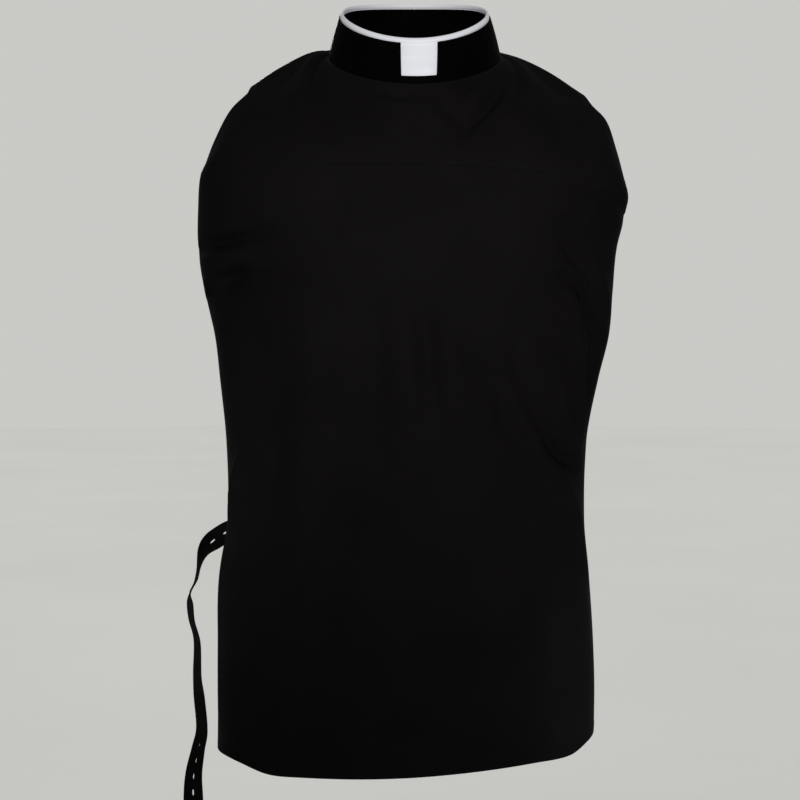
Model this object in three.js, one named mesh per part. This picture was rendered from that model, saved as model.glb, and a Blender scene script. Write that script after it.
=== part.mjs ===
// Clergy rabat: a black sleeveless clerical shirt-front with a stand collar.
// Millimetres, +Z up, -Y towards the front, +X to the right seen from the front.
// The origin is the middle of the neck seam, where the wearer's neck holds the garment.

import * as THREE from 'three';

// ---------------------------------------------------------------- driving dimensions

const CLOTH = 1.5;
const SEAM_GAP = 0.3;
// Bent plies and pieces that lie on a curved wall need a little more room than a seam.
const PLY_GAP = 0.45;
const SEAT_GAP = 0.8;

// Each collar ring is an ellipse whose height follows a parabola through front, side and back.
const NECK_SEAM = { halfWidth: 79, halfDepth: 69, middleY: -3, front: -34, side: -1.5, back: 18 };
const COLLAR_TOP = { halfWidth: 69.5, halfDepth: 60, middleY: -6, front: 1.6, side: 33.3, back: 49.5 };
const BAND_WALL = 1.4;
const INSERT_WALL = 1.3;
const LINING_WALL = 1.2;
const RIM_WALL = 2.2;
const RIM_HEIGHT = 4.8;
const INSERT_FOOT = 2;
const NOTCH = { left: -12.6, right: 19.4, strip: 6.2 };
const BACK_LAP_DEG = 8;
const LAP_EASE_DEG = 24;

// Angles round the neck run from 0 at the front to +-180 at the back.
const SHOULDER_DEG = 103;
const FRONT_STEPS = 10;
const NOTCH_STEPS = 3;
const BACK_STEPS = 9;

// Front form, one row for each height: side edges, front of the chest and the sides' depth.
const FORM = [
  { z: -93.9, left: -186.6, right: 186, front: -100, side: -33 },
  { z: -113.6, left: -194, right: 190.6, front: -104, side: -31 },
  { z: -138.3, left: -196.4, right: 193, front: -108, side: -28 },
  { z: -177.9, left: -197.1, right: 183.7, front: -110, side: -24 },
  { z: -217.6, left: -191.9, right: 180.6, front: -110, side: -20 },
  { z: -257.3, left: -183.2, right: 177.9, front: -108, side: -16 },
  { z: -297.2, left: -179, right: 169.1, front: -106, side: -12 },
  { z: -357.3, left: -173.7, right: 158.8, front: -104.5, side: -8 },
  { z: -427.7, left: -173.3, right: 157.2, front: -104, side: -5 },
  { z: -478.2, left: -181.1, right: 161.9, front: -105, side: -3 },
  { z: -544.2, left: -182.1, right: 166.4, front: -107, side: -2 },
  { z: -610.4, left: -183.5, right: 167.7, front: -108.5, side: -2 },
  { z: -651.3, left: -184.1, right: 165.9, front: -109, side: -2 },
];
const SECTION_POWER = 2.35;

// Edges of the front panel, by the share of its width from left to right.
const CHEST_SEAM = [
  { across: 0, z: -110.2 },
  { across: 0.25, z: -107.9 },
  { across: 0.5, z: -106.7 },
  { across: 0.75, z: -113 },
  { across: 0.9, z: -120.6 },
  { across: 1, z: -129.9 },
];
const HEM = [
  { across: 0, z: -642.1 },
  { across: 0.1, z: -640.9 },
  { across: 0.16, z: -643.1 },
  { across: 0.23, z: -648.9 },
  { across: 0.3, z: -648.7 },
  { across: 0.5, z: -646.5 },
  { across: 0.75, z: -637.7 },
  { across: 0.84, z: -636 },
  { across: 0.9, z: -629.2 },
  { across: 0.95, z: -625.9 },
  { across: 1, z: -622.7 },
];
const HEM_CORNER = { left: 11, right: 6 };
const PANEL_COLUMNS = 32;
const PANEL_ROWS = 30;

// Largest folds of the front panel: troughs have a positive depth, ridges a negative one.
// Each runs from one place, given as [across, z], to another and bows sideways in its middle.
const FOLDS = [
  { name: 'left_chest', from: [0.068, -175], to: [0.196, -171], bow: 0, depth: 2.5, reach: 10 },
  { name: 'left_drag', from: [0.075, -215], to: [0.193, -196], bow: -3, depth: 4, reach: 9 },
  { name: 'left_lip', from: [0.085, -202], to: [0.2, -185], bow: -3, depth: -2, reach: 8 },
  { name: 'left_ridge', from: [0.305, -262], to: [0.28, -421], bow: 4, depth: -2.5, reach: 14 },
  { name: 'inner_left', from: [0.439, -261], to: [0.44, -308], bow: 0, depth: 2, reach: 11 },
  { name: 'middle_ridge', from: [0.488, -233], to: [0.494, -364], bow: 0, depth: -2.5, reach: 12 },
  { name: 'middle_trough', from: [0.538, -225], to: [0.537, -299], bow: 0, depth: 3, reach: 11 },
  { name: 'inner_right', from: [0.576, -243], to: [0.587, -317], bow: 0, depth: -2, reach: 10 },
  { name: 'diagonal', from: [0.629, -261], to: [0.873, -373], bow: -10, depth: 4, reach: 13 },
  { name: 'waist_hollow', from: [0.8, -349], to: [0.89, -377], bow: 0, depth: 3, reach: 10 },
  { name: 'waist_crease', from: [0.814, -376], to: [0.911, -438], bow: 0, depth: -2, reach: 9 },
  { name: 'right_arm', from: [0.841, -132], to: [0.956, -140], bow: 0, depth: 2.5, reach: 9 },
  { name: 'right_drag', from: [0.815, -199], to: [0.911, -262], bow: -4, depth: 6, reach: 10 },
  { name: 'right_waist', from: [0.911, -262], to: [0.944, -343], bow: 16, depth: 7, reach: 10 },
  { name: 'right_lip', from: [0.847, -243], to: [0.905, -340], bow: 4, depth: -4, reach: 10 },
];

// Shoulders: each line starts at the neck seam and runs outward through three places.
// x is the distance from the middle, the same columns serve both sides.
const SHOULDER_SEAM = {
  left: [{ x: 93, y: 4, z: 0.7 }, { x: 123.8, y: -12, z: -27.3 }, { x: 152.6, y: -19, z: -36.8 }],
  right: [{ x: 96.3, y: 4, z: -4.7 }, { x: 131.1, y: -12, z: -34.2 }, { x: 161.9, y: -19, z: -48.2 }],
};
const SHOULDER_RIDGE = {
  left: [{ x: 94, y: 17, z: 5.9 }, { x: 124.7, y: 9, z: -10.5 }, { x: 149.6, y: 5, z: -28.3 }],
  right: [{ x: 96.2, y: 17, z: 0.5 }, { x: 127, y: 9, z: -15.9 }, { x: 153.9, y: 4, z: -35.2 }],
};
const BACK_RAYS = [
  [{ x: 82, y: 38, z: 5 }, { x: 112, y: 32, z: -16 }, { x: 143, y: 30, z: -42 }],
  [{ x: 68, y: 57, z: 5 }, { x: 95, y: 63, z: -20 }, { x: 124, y: 66, z: -60 }],
  [{ x: 47, y: 68, z: 5 }, { x: 66, y: 80, z: -24 }, { x: 84, y: 86, z: -68 }],
  [{ x: 24, y: 74, z: 5 }, { x: 33, y: 88, z: -26 }, { x: 42, y: 95, z: -72 }],
  [{ x: 0.5, y: 76, z: 5 }, { x: 0.5, y: 91, z: -26 }, { x: 0.5, y: 98, z: -74 }],
];
const BACK_OPENING_HALF = 0.5;
const SHOULDER_SEAM_ROOM = new THREE.Vector3(0, 0.9, 0.5);
const SHOULDER_STEPS = 5;

// Armholes of the yoke, from the shoulder seam down to the corner of the chest seam.
const ARMHOLE = {
  left: [{ x: 167.6, y: -26, z: -52.8 }, { x: 181.6, y: -30, z: -80 }],
  right: [{ x: 173.9, y: -25, z: -62.1 }, { x: 183, y: -29, z: -88.9 }],
};
const ARMHOLE_STEPS = 5;
const ARMHOLE_FOOT = 7;
const YOKE_ROWS = 6;
const YOKE_FOOT_LEAN_DEG = 8;
const YOKE_SHARES = { shoulderEnd: 0.14, neckSide: 0.31 };
// How the yoke meets its top edge, by the share of the width from the nearer side: its lean
// back from upright, and the turn of that lean from straight back towards the neck.
const YOKE_TOP = [
  { fromSide: 0, lean: 6, heading: 0 },
  { fromSide: 0.14, lean: 58, heading: 0 },
  { fromSide: 0.25, lean: 60, heading: 15 },
  { fromSide: 0.31, lean: 62, heading: 45 },
  { fromSide: 0.36, lean: 58, heading: 60 },
  { fromSide: 0.42, lean: 42, heading: 40 },
  { fromSide: 0.5, lean: 27, heading: 0 },
];

// Waist strap of buttonhole elastic, sewn inside the left edge and hanging loose.
const STRAP = { width: 19, thickness: 1.3, seamZ: -438.1, sewn: 24, firstSlit: 8 };
const SLIT = { length: 7, width: 1.5, pitch: 15.5 };
// tilt turns the strap's width from upright (90) to level (180), turn twists it about its run.
const STRAP_RUN = [
  { x: -172.1, y: 5, z: -440.4, tilt: 92, turn: 0 },
  { x: -179.2, y: 12, z: -445, tilt: 110, turn: 4 },
  { x: -190.1, y: 14, z: -452.6, tilt: 128, turn: 22 },
  { x: -195.9, y: 15, z: -459.7, tilt: 145, turn: 54 },
  { x: -199.8, y: 16, z: -467.5, tilt: 162, turn: 75 },
  { x: -203.1, y: 17, z: -478.6, tilt: 180, turn: 86 },
  { x: -206, y: 17, z: -490.8, tilt: 180, turn: 88 },
  { x: -210.9, y: 17, z: -500.9, tilt: 180, turn: 92 },
  { x: -211.5, y: 17, z: -511.1, tilt: 180, turn: 112 },
  { x: -210.2, y: 17, z: -527.3, tilt: 180, turn: 113 },
  { x: -205.3, y: 17, z: -546.6, tilt: 180, turn: 114 },
  { x: -205.1, y: 17, z: -581.2, tilt: 180, turn: 119 },
  { x: -203.6, y: 18, z: -601.6, tilt: 180, turn: 128 },
  { x: -201.4, y: 18, z: -634.3, tilt: 180, turn: 129 },
  { x: -204.9, y: 19, z: -651.7, tilt: 180, turn: 134 },
  { x: -209.7, y: 20, z: -677.2, tilt: 180, turn: 152 },
  { x: -210.5, y: 20, z: -708, tilt: 180, turn: 182 },
  { x: -209.1, y: 20, z: -778, tilt: 180, turn: 194 },
  { x: -210.4, y: 20, z: -846.3, tilt: 180, turn: 186 },
];

const BUTTON = { radius: 5, thickness: 2.2, holeRadius: 0.8, holeSpacing: 2.6 };
const WAIST_BUTTON = { across: 0.968, z: -438.1 };
const COLLAR_BUTTON = { angleDeg: 180, rise: 0.5 };

// ---------------------------------------------------------------- materials

const BLACK_CLOTH = new THREE.MeshStandardMaterial({ color: 0x0e0e0f, roughness: 0.82, metalness: 0 });
const BLACK_BAND = new THREE.MeshStandardMaterial({ color: 0x070708, roughness: 0.7, metalness: 0 });
const WHITE_CLOTH = new THREE.MeshStandardMaterial({ color: 0xdcdde4, roughness: 0.75, metalness: 0 });
const BLACK_ELASTIC = new THREE.MeshStandardMaterial({ color: 0x09090a, roughness: 0.9, metalness: 0 });
const BLACK_BUTTON = new THREE.MeshStandardMaterial({ color: 0x0b0b0c, roughness: 0.3, metalness: 0 });

// ---------------------------------------------------------------- small helpers

const radians = THREE.MathUtils.degToRad;
const mix = THREE.MathUtils.lerp;
const smooth = THREE.MathUtils.smoothstep;

const steps = (count) => Array.from({ length: count + 1 }, (_, index) => index / count);

// Slope of one column of a table at a row, from its neighbours.
function slopeAt(rows, key, column, index) {
  const before = rows[Math.max(index - 1, 0)];
  const after = rows[Math.min(index + 1, rows.length - 1)];
  return (after[column] - before[column]) / (after[key] - before[key]);
}

// Smooth value of one column of a table between its rows, whose key rises or falls throughout.
function tableValue(rows, key, column, at) {
  const rising = rows[1][key] > rows[0][key];
  const isPast = (row) => (rising ? row[key] > at : row[key] < at);
  const found = rows.findIndex(isPast);
  const upper = found < 0 ? rows.length - 1 : Math.max(found, 1);
  const low = rows[upper - 1];
  const high = rows[upper];
  const span = high[key] - low[key];
  const t = (at - low[key]) / span;
  const lowSlope = slopeAt(rows, key, column, upper - 1) * span;
  const highSlope = slopeAt(rows, key, column, upper) * span;
  return hermite(low[column], high[column], lowSlope, highSlope, t);
}

function hermite(start, end, startSlope, endSlope, t) {
  const square = t * t;
  const cube = square * t;
  const startShare = 2 * cube - 3 * square + 1;
  const endShare = 3 * square - 2 * cube;
  return startShare * start + endShare * end
    + (cube - 2 * square + t) * startSlope + (cube - square) * endSlope;
}

function hermitePoint(start, end, startSlope, endSlope, t) {
  return new THREE.Vector3(
    hermite(start.x, end.x, startSlope.x, endSlope.x, t),
    hermite(start.y, end.y, startSlope.y, endSlope.y, t),
    hermite(start.z, end.z, startSlope.z, endSlope.z, t),
  );
}

const mirrored = (place, side) => new THREE.Vector3(side === 'left' ? -place.x : place.x, place.y, place.z);

// ---------------------------------------------------------------- cloth walls

// Inward direction at each point of a grid. Seen from outside, its columns run to the right
// and its rows run down.
function inwardNormals(grid) {
  return grid.map((row, r) => row.map((_, c) => {
    const right = row[Math.min(c + 1, row.length - 1)].clone().sub(row[Math.max(c - 1, 0)]);
    const below = grid[Math.min(r + 1, grid.length - 1)][c].clone();
    const down = below.sub(grid[Math.max(r - 1, 0)][c]);
    return right.cross(down).normalize();
  }));
}

// Closed wall whose outer face is the grid. Cells for which isOpen is true are cut out.
function clothWall(grid, thicknessOf, isOpen = () => false) {
  const inward = inwardNormals(grid);
  const inner = grid.map((row, r) => row.map((point, c) => (
    point.clone().addScaledVector(inward[r][c], thicknessOf(r))
  )));
  const lastRow = grid.length - 1;
  const lastColumn = grid[0].length - 1;
  const isCloth = (r, c) => r >= 0 && c >= 0 && r < lastRow && c < lastColumn && !isOpen(r, c);
  const corners = [];
  const quad = (...four) => [0, 1, 2, 0, 2, 3].forEach((index) => corners.push(...four[index].toArray()));

  for (let r = 0; r < lastRow; r += 1) {
    for (let c = 0; c < lastColumn; c += 1) {
      if (isCloth(r, c)) {
        const loop = [[r, c], [r + 1, c], [r + 1, c + 1], [r, c + 1]];
        const beyond = [[r, c - 1], [r + 1, c], [r, c + 1], [r - 1, c]];
        quad(...loop.map(([i, j]) => grid[i][j]));
        quad(...loop.map(([i, j]) => inner[i][j]).reverse());
        loop.forEach(([i, j], edge) => {
          const [k, l] = loop[(edge + 1) % 4];
          if (!isCloth(...beyond[edge])) quad(grid[k][l], grid[i][j], inner[i][j], inner[k][l]);
        });
      }
    }
  }
  const geometry = new THREE.BufferGeometry();
  geometry.setAttribute('position', new THREE.Float32BufferAttribute(corners, 3));
  geometry.computeVertexNormals();
  return geometry;
}

function namedMesh(name, geometry, material) {
  const mesh = new THREE.Mesh(geometry, material);
  mesh.name = name;
  return mesh;
}

// ---------------------------------------------------------------- collar

function ringHeight(ring, backward) {
  const rise = (ring.back - ring.front) / 2;
  const bend = (ring.back + ring.front) / 2 - ring.side;
  return ring.side + rise * backward + bend * backward * backward;
}

// Point of the collar at an angle round the neck, a share of its height and a depth inward.
function collarPoint(angleDeg, rise, inset = 0) {
  const angle = radians(angleDeg);
  const halfWidth = mix(NECK_SEAM.halfWidth, COLLAR_TOP.halfWidth, rise);
  const halfDepth = mix(NECK_SEAM.halfDepth, COLLAR_TOP.halfDepth, rise);
  const middleY = mix(NECK_SEAM.middleY, COLLAR_TOP.middleY, rise);
  const backward = -Math.cos(angle);
  const outward = new THREE.Vector3(Math.sin(angle) / halfWidth, backward / halfDepth, 0).normalize();
  const height = mix(ringHeight(NECK_SEAM, backward), ringHeight(COLLAR_TOP, backward), rise);
  const point = new THREE.Vector3(halfWidth * Math.sin(angle), middleY + halfDepth * backward, height);
  return point.addScaledVector(outward, -inset);
}

// Neck edge of the yokes, just outside and below the foot of the band.
function neckEdge(angleDeg) {
  const point = collarPoint(angleDeg, 0, -SEAM_GAP);
  point.z -= 2 * SEAM_GAP;
  return point;
}

const bandHeight = (angleDeg) => collarPoint(angleDeg, 1).distanceTo(collarPoint(angleDeg, 0));
const angleAtX = (x) => THREE.MathUtils.radToDeg(Math.asin(x / NECK_SEAM.halfWidth));

// Angles of the columns that the collar shares with the yokes.
function frontAngles() {
  const left = angleAtX(NOTCH.left);
  const right = angleAtX(NOTCH.right);
  return [
    ...steps(FRONT_STEPS).map((share) => mix(-SHOULDER_DEG, left, share)),
    ...steps(NOTCH_STEPS).slice(1, -1).map((share) => mix(left, right, share)),
    ...steps(FRONT_STEPS).map((share) => mix(right, SHOULDER_DEG, share)),
  ];
}

const backAngles = () => steps(BACK_STEPS).map((share) => mix(SHOULDER_DEG, 180, share));

function ringAngles() {
  const back = backAngles().slice(1);
  return [...back.map((angle) => -angle).reverse(), ...frontAngles(), ...back];
}

// The right end of the band rides out over the left end at the middle of the back.
function lapInset(angleDeg) {
  const lapStart = 180 - BACK_LAP_DEG;
  return -(BAND_WALL + PLY_GAP) * smooth(angleDeg, lapStart - LAP_EASE_DEG, lapStart);
}

function collarBand() {
  const angles = [-180 - BACK_LAP_DEG, ...ringAngles(), 180 + BACK_LAP_DEG];
  const notchFoot = NOTCH.strip / bandHeight(0);
  const rises = [1, mix(notchFoot, 1, 0.5), notchFoot, 0];
  const grid = rises.map((rise) => angles.map((angle) => collarPoint(angle, rise, lapInset(angle))));
  const firstNotch = BACK_STEPS + 1 + FRONT_STEPS;
  const isNotch = (r, c) => r < rises.indexOf(notchFoot) && c >= firstNotch && c < firstNotch + NOTCH_STEPS;
  return clothWall(grid, () => BAND_WALL, isNotch);
}

// White inner collar: a thin wall behind the band, thicker where its rim stands above it.
function collarInsert() {
  const angles = ringAngles().map((angle) => THREE.MathUtils.clamp(angle, -179, 179));
  const wallInset = BAND_WALL + PLY_GAP;
  const rimInset = wallInset - (RIM_WALL - INSERT_WALL) / 2;
  const height = bandHeight(90);
  const levels = [
    { rise: 1 + RIM_HEIGHT / height, inset: rimInset, wall: RIM_WALL },
    { rise: 1 + RIM_HEIGHT / 2 / height, inset: rimInset, wall: RIM_WALL },
    { rise: 1 + SEAM_GAP / height, inset: wallInset, wall: INSERT_WALL },
    { rise: 0.5, inset: wallInset, wall: INSERT_WALL },
    { rise: INSERT_FOOT / height, inset: wallInset, wall: INSERT_WALL },
  ];
  const grid = levels.map(({ rise, inset }) => angles.map((angle) => collarPoint(angle, rise, inset)));
  return clothWall(grid, (row) => levels[row].wall);
}

function collarLining() {
  const angles = ringAngles().map((angle) => THREE.MathUtils.clamp(angle, -179, 179));
  const inset = BAND_WALL + INSERT_WALL + 2 * PLY_GAP;
  const grid = [1, 0.5, 0].map((rise) => angles.map((angle) => collarPoint(angle, rise, inset)));
  return clothWall(grid, () => LINING_WALL);
}

// ---------------------------------------------------------------- front form and panel

// Half of a superellipse round the front of the body, from the left edge to the right edge.
class FrontSection extends THREE.Curve {
  constructor(z) {
    super();
    this.z = z;
    this.left = tableValue(FORM, 'z', 'left', z);
    this.right = tableValue(FORM, 'z', 'right', z);
    this.front = tableValue(FORM, 'z', 'front', z);
    this.side = tableValue(FORM, 'z', 'side', z);
    this.arcLengthDivisions = 80;
  }

  getPoint(t, target = new THREE.Vector3()) {
    const angle = (t - 0.5) * Math.PI;
    const power = 2 / SECTION_POWER;
    const sine = Math.sin(angle);
    const outward = Math.sign(sine) * Math.abs(sine) ** power;
    const forward = Math.max(Math.cos(angle), 0) ** power;
    const middle = (this.left + this.right) / 2;
    const halfWidth = (this.right - this.left) / 2;
    const depth = this.side - this.front;
    return target.set(middle + halfWidth * outward, this.side - depth * forward, this.z);
  }
}

const PANEL_WIDTH = new FrontSection(-300).getLength();

// Distance inward that the folds move a place of the panel.
function foldDepth(across, z) {
  return FOLDS.reduce((sum, fold) => {
    const [fromAcross, fromZ] = fold.from;
    const [toAcross, toZ] = fold.to;
    const nearest = steps(12).reduce((best, t) => {
      const bow = fold.bow * Math.sin(Math.PI * t);
      const side = (across - mix(fromAcross, toAcross, t)) * PANEL_WIDTH - bow;
      const distance = Math.hypot(side, z - mix(fromZ, toZ, t));
      return distance < best.distance ? { distance, t } : best;
    }, { distance: Infinity, t: 0 });
    const fade = Math.sin(Math.PI * mix(0.15, 0.85, nearest.t));
    return sum + fold.depth * fade * Math.exp(-((nearest.distance / fold.reach) ** 2));
  }, 0);
}

function formPoint(across, z) {
  return new FrontSection(z).getPointAt(across);
}

// Inward direction of the form, level with the ground.
function formInward(across, z) {
  const reach = 0.01;
  const right = formPoint(Math.min(across + reach, 1), z).sub(formPoint(Math.max(across - reach, 0), z));
  return new THREE.Vector3(-right.y, right.x, 0).normalize();
}

function panelPoint(across, z) {
  return formPoint(across, z).addScaledVector(formInward(across, z), foldDepth(across, z));
}

const chestSeamZ = (across) => tableValue(CHEST_SEAM, 'across', 'z', across);

// Height of the hem, which rounds up at its two corners.
function hemZ(across) {
  const fromEdge = Math.min(across, 1 - across) * PANEL_WIDTH;
  const radius = across < 0.5 ? HEM_CORNER.left : HEM_CORNER.right;
  const inCorner = Math.max(radius - fromEdge, 0);
  const lift = radius - Math.sqrt(radius ** 2 - inCorner ** 2);
  return tableValue(HEM, 'across', 'z', across) + lift;
}

function frontPanel() {
  const left = HEM_CORNER.left / PANEL_WIDTH;
  const right = HEM_CORNER.right / PANEL_WIDTH;
  const middle = steps(PANEL_COLUMNS - 4).map((share) => mix(left, 1 - right, share));
  const acrossList = [0, left * 0.3, ...middle, 1 - right * 0.3, 1];
  const grid = steps(PANEL_ROWS).map((down) => acrossList.map((across) => (
    panelPoint(across, mix(chestSeamZ(across), hemZ(across), down))
  )));
  return clothWall(grid, () => CLOTH);
}

// ---------------------------------------------------------------- yokes

// Line from the neck seam along a shoulder, through the places of a table.
function shoulderLine(places, side, angleDeg) {
  const start = mirrored(neckEdge(angleDeg), side);
  return new THREE.CatmullRomCurve3([start, ...places.map((place) => mirrored(place, side))]);
}

// Top edge of the front yoke: armhole, shoulder seam, neck, shoulder seam, armhole.
function yokeTopEdge() {
  const edge = [];
  ['left', 'right'].forEach((side) => {
    const seam = shoulderLine(SHOULDER_SEAM[side], side, SHOULDER_DEG);
    const cornerShare = side === 'left' ? 0 : 1;
    const corner = formPoint(cornerShare, chestSeamZ(cornerShare) + ARMHOLE_FOOT);
    const armPlaces = ARMHOLE[side].map((place) => mirrored(place, side)).reverse();
    const armhole = new THREE.CatmullRomCurve3([corner, ...armPlaces, seam.getPoint(1)]);
    const outerShare = (share) => (side === 'left' ? share : 1 - share);
    const armPart = steps(ARMHOLE_STEPS).slice(0, -1).map((share) => (
      { across: outerShare(share * YOKE_SHARES.shoulderEnd), point: armhole.getPointAt(share) }
    ));
    const seamPart = steps(SHOULDER_STEPS).slice(0, -1).map((share) => (
      {
        across: outerShare(mix(YOKE_SHARES.shoulderEnd, YOKE_SHARES.neckSide, share)),
        point: seam.getPointAt(1 - share),
      }
    ));
    const part = [...armPart, ...seamPart];
    if (side === 'left') edge.push(...part, ...neckPart());
    else edge.push(...part.reverse());
  });
  return edge;
}

function neckPart() {
  const angles = frontAngles();
  return angles.map((angle) => {
    const share = (angle - angles[0]) / (angles[angles.length - 1] - angles[0]);
    const across = mix(YOKE_SHARES.neckSide, 1 - YOKE_SHARES.neckSide, share);
    return { across, point: neckEdge(angle) };
  });
}

function yokeTopHeading(across) {
  const fromSide = Math.min(across, 1 - across);
  const lean = radians(tableValue(YOKE_TOP, 'fromSide', 'lean', fromSide));
  const heading = radians(tableValue(YOKE_TOP, 'fromSide', 'heading', fromSide));
  const towardsNeck = across < 0.5 ? Math.sin(heading) : -Math.sin(heading);
  return new THREE.Vector3(Math.sin(lean) * towardsNeck, Math.sin(lean) * Math.cos(heading), Math.cos(lean));
}

function frontYoke() {
  const footLean = radians(YOKE_FOOT_LEAN_DEG);
  const footGap = PLY_GAP + CLOTH * Math.sin(footLean);
  const columns = yokeTopEdge().map(({ across, point }) => {
    const foot = formPoint(across, chestSeamZ(across) + footGap);
    const reach = Math.hypot(point.y - foot.y, point.z - foot.z);
    const topSlope = yokeTopHeading(across).multiplyScalar(reach);
    const sideways = point.x - foot.x;
    const footSlope = new THREE.Vector3(sideways, reach * Math.sin(footLean), reach * Math.cos(footLean));
    const isAtNeck = across > YOKE_SHARES.neckSide && across < 1 - YOKE_SHARES.neckSide;
    const top = isAtNeck ? point : point.clone().sub(SHOULDER_SEAM_ROOM);
    return steps(YOKE_ROWS).map((down) => hermitePoint(foot, top, footSlope, topSlope, 1 - down));
  });
  const grid = steps(YOKE_ROWS).map((_, row) => columns.map((column) => column[row]));
  return clothWall(grid, () => CLOTH);
}

// Back yoke of one side: lines run out from the neck, from the shoulder seam to the middle back.
function backYoke(side) {
  const rays = [SHOULDER_SEAM[side], SHOULDER_RIDGE[side], ...BACK_RAYS];
  const across = [0, 1, 2].map((place) => new THREE.CatmullRomCurve3(
    rays.map((ray) => mirrored(ray[place], side)),
  ));
  const columns = backAngles().map((angle, index) => {
    const start = mirrored(neckEdge(angle), side);
    const opening = side === 'left' ? -BACK_OPENING_HALF : BACK_OPENING_HALF;
    start.x = Math.abs(start.x) < BACK_OPENING_HALF ? opening : start.x;
    const places = across.map((curve) => curve.getPoint(index / BACK_STEPS));
    const line = new THREE.CatmullRomCurve3([start, ...places]);
    return steps(SHOULDER_STEPS).map((out) => line.getPointAt(out));
  });
  if (side === 'left') columns.reverse();
  const grid = steps(SHOULDER_STEPS).map((_, row) => columns.map((column) => column[row]));
  return clothWall(grid, () => CLOTH);
}

// ---------------------------------------------------------------- waist strap and buttons

// Place of the strap's middle where it is sewn inside the left edge of the front panel.
function strapSeamPlace(fromEdge) {
  const across = fromEdge / PANEL_WIDTH;
  const depth = CLOTH + SEAT_GAP;
  const point = panelPoint(across, STRAP.seamZ).addScaledVector(formInward(across, STRAP.seamZ), depth);
  const upward = panelPoint(across, STRAP.seamZ + STRAP.width / 2);
  upward.sub(panelPoint(across, STRAP.seamZ - STRAP.width / 2)).normalize();
  const tilt = THREE.MathUtils.radToDeg(Math.acos(upward.x));
  return { x: point.x, y: point.y, z: point.z, tilt, turn: 0 };
}

function strapRows() {
  const sewn = [STRAP.sewn, STRAP.sewn * 0.5, 3].map(strapSeamPlace);
  return [...sewn, ...STRAP_RUN];
}

// Lengths along the strap at which a slit starts or ends, and its two ends.
function strapStations(length) {
  const stations = [0];
  for (let at = STRAP.firstSlit; at + SLIT.length < length - 4; at += SLIT.pitch) {
    stations.push(at, at + SLIT.length);
  }
  return [...stations, length];
}

function waistStrap() {
  const rows = strapRows().map((row, index) => ({ ...row, index }));
  const run = new THREE.CatmullRomCurve3(rows.map(({ x, y, z }) => new THREE.Vector3(x, y, z)));
  run.arcLengthDivisions = 800;
  const length = run.getLength();
  const offsets = [STRAP.width / 2, SLIT.width / 2, -SLIT.width / 2, -STRAP.width / 2];
  const grid = strapStations(length).map((station) => {
    const t = run.getUtoTmapping(station / length);
    const middle = run.getPoint(t);
    const along = run.getTangent(t);
    const tilt = radians(tableValue(rows, 'index', 'tilt', t * (rows.length - 1)));
    const turn = radians(tableValue(rows, 'index', 'turn', t * (rows.length - 1)));
    const width = new THREE.Vector3(Math.cos(tilt) * Math.cos(turn), Math.cos(tilt) * Math.sin(turn),
      Math.sin(tilt));
    width.addScaledVector(along, -width.dot(along)).normalize();
    return offsets.map((offset) => middle.clone().addScaledVector(width, offset));
  });
  const isSlit = (r, c) => c === 1 && r % 2 === 1;
  return clothWall(grid, () => STRAP.thickness, isSlit);
}

// Round button with four holes. Its back lies at the place and it stands out along facing.
function button(name, place, facing) {
  const outline = new THREE.Shape().absarc(0, 0, BUTTON.radius, 0, 2 * Math.PI);
  [[-1, -1], [1, -1], [1, 1], [-1, 1]].forEach(([right, up]) => {
    const hole = new THREE.Path();
    const reach = BUTTON.holeSpacing / 2;
    hole.absarc(right * reach, up * reach, BUTTON.holeRadius, 0, 2 * Math.PI, true);
    outline.holes.push(hole);
  });
  const settings = { depth: BUTTON.thickness, bevelEnabled: false, curveSegments: 8 };
  const mesh = namedMesh(name, new THREE.ExtrudeGeometry(outline, settings), BLACK_BUTTON);
  mesh.position.copy(place);
  mesh.quaternion.setFromUnitVectors(new THREE.Vector3(0, 0, 1), facing.clone().normalize());
  return mesh;
}

function waistButton() {
  const { across, z } = WAIST_BUTTON;
  const facing = formInward(across, z);
  const place = panelPoint(across, z).addScaledVector(facing, CLOTH + SEAT_GAP);
  return button('waist_button', place, facing);
}

function collarButton() {
  const { angleDeg, rise } = COLLAR_BUTTON;
  const surface = (lift) => collarPoint(angleDeg, rise + lift, lapInset(angleDeg));
  const upward = surface(0.1).sub(surface(-0.1)).normalize();
  const facing = new THREE.Vector3(1, 0, 0).cross(upward).negate();
  const place = surface(0).addScaledVector(facing, SEAM_GAP);
  return button('collar_button', place, facing);
}

// ---------------------------------------------------------------- assembly

const rabat = new THREE.Group();
rabat.add(namedMesh('front_panel', frontPanel(), BLACK_CLOTH));
rabat.add(namedMesh('front_yoke', frontYoke(), BLACK_CLOTH));
rabat.add(namedMesh('back_yoke_left', backYoke('left'), BLACK_CLOTH));
rabat.add(namedMesh('back_yoke_right', backYoke('right'), BLACK_CLOTH));
rabat.add(namedMesh('collar_band', collarBand(), BLACK_BAND));
rabat.add(namedMesh('collar_insert', collarInsert(), WHITE_CLOTH));
rabat.add(namedMesh('collar_lining', collarLining(), BLACK_BAND));
rabat.add(namedMesh('waist_strap', waistStrap(), BLACK_ELASTIC));
rabat.add(collarButton());
rabat.add(waistButton());

export default rabat;
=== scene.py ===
"""Clergy rabat: thin cloth shells on the CAD frame, with creases, hems, stitching and studio light.

Lengths are in millimetres up to the making of a mesh, which is in metres, in the CAD's frame:
+Z up, -Y towards the front, the origin in the middle of the neck seam.
"""

import math

import bpy
import numpy as np
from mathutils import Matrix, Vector, noise


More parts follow.
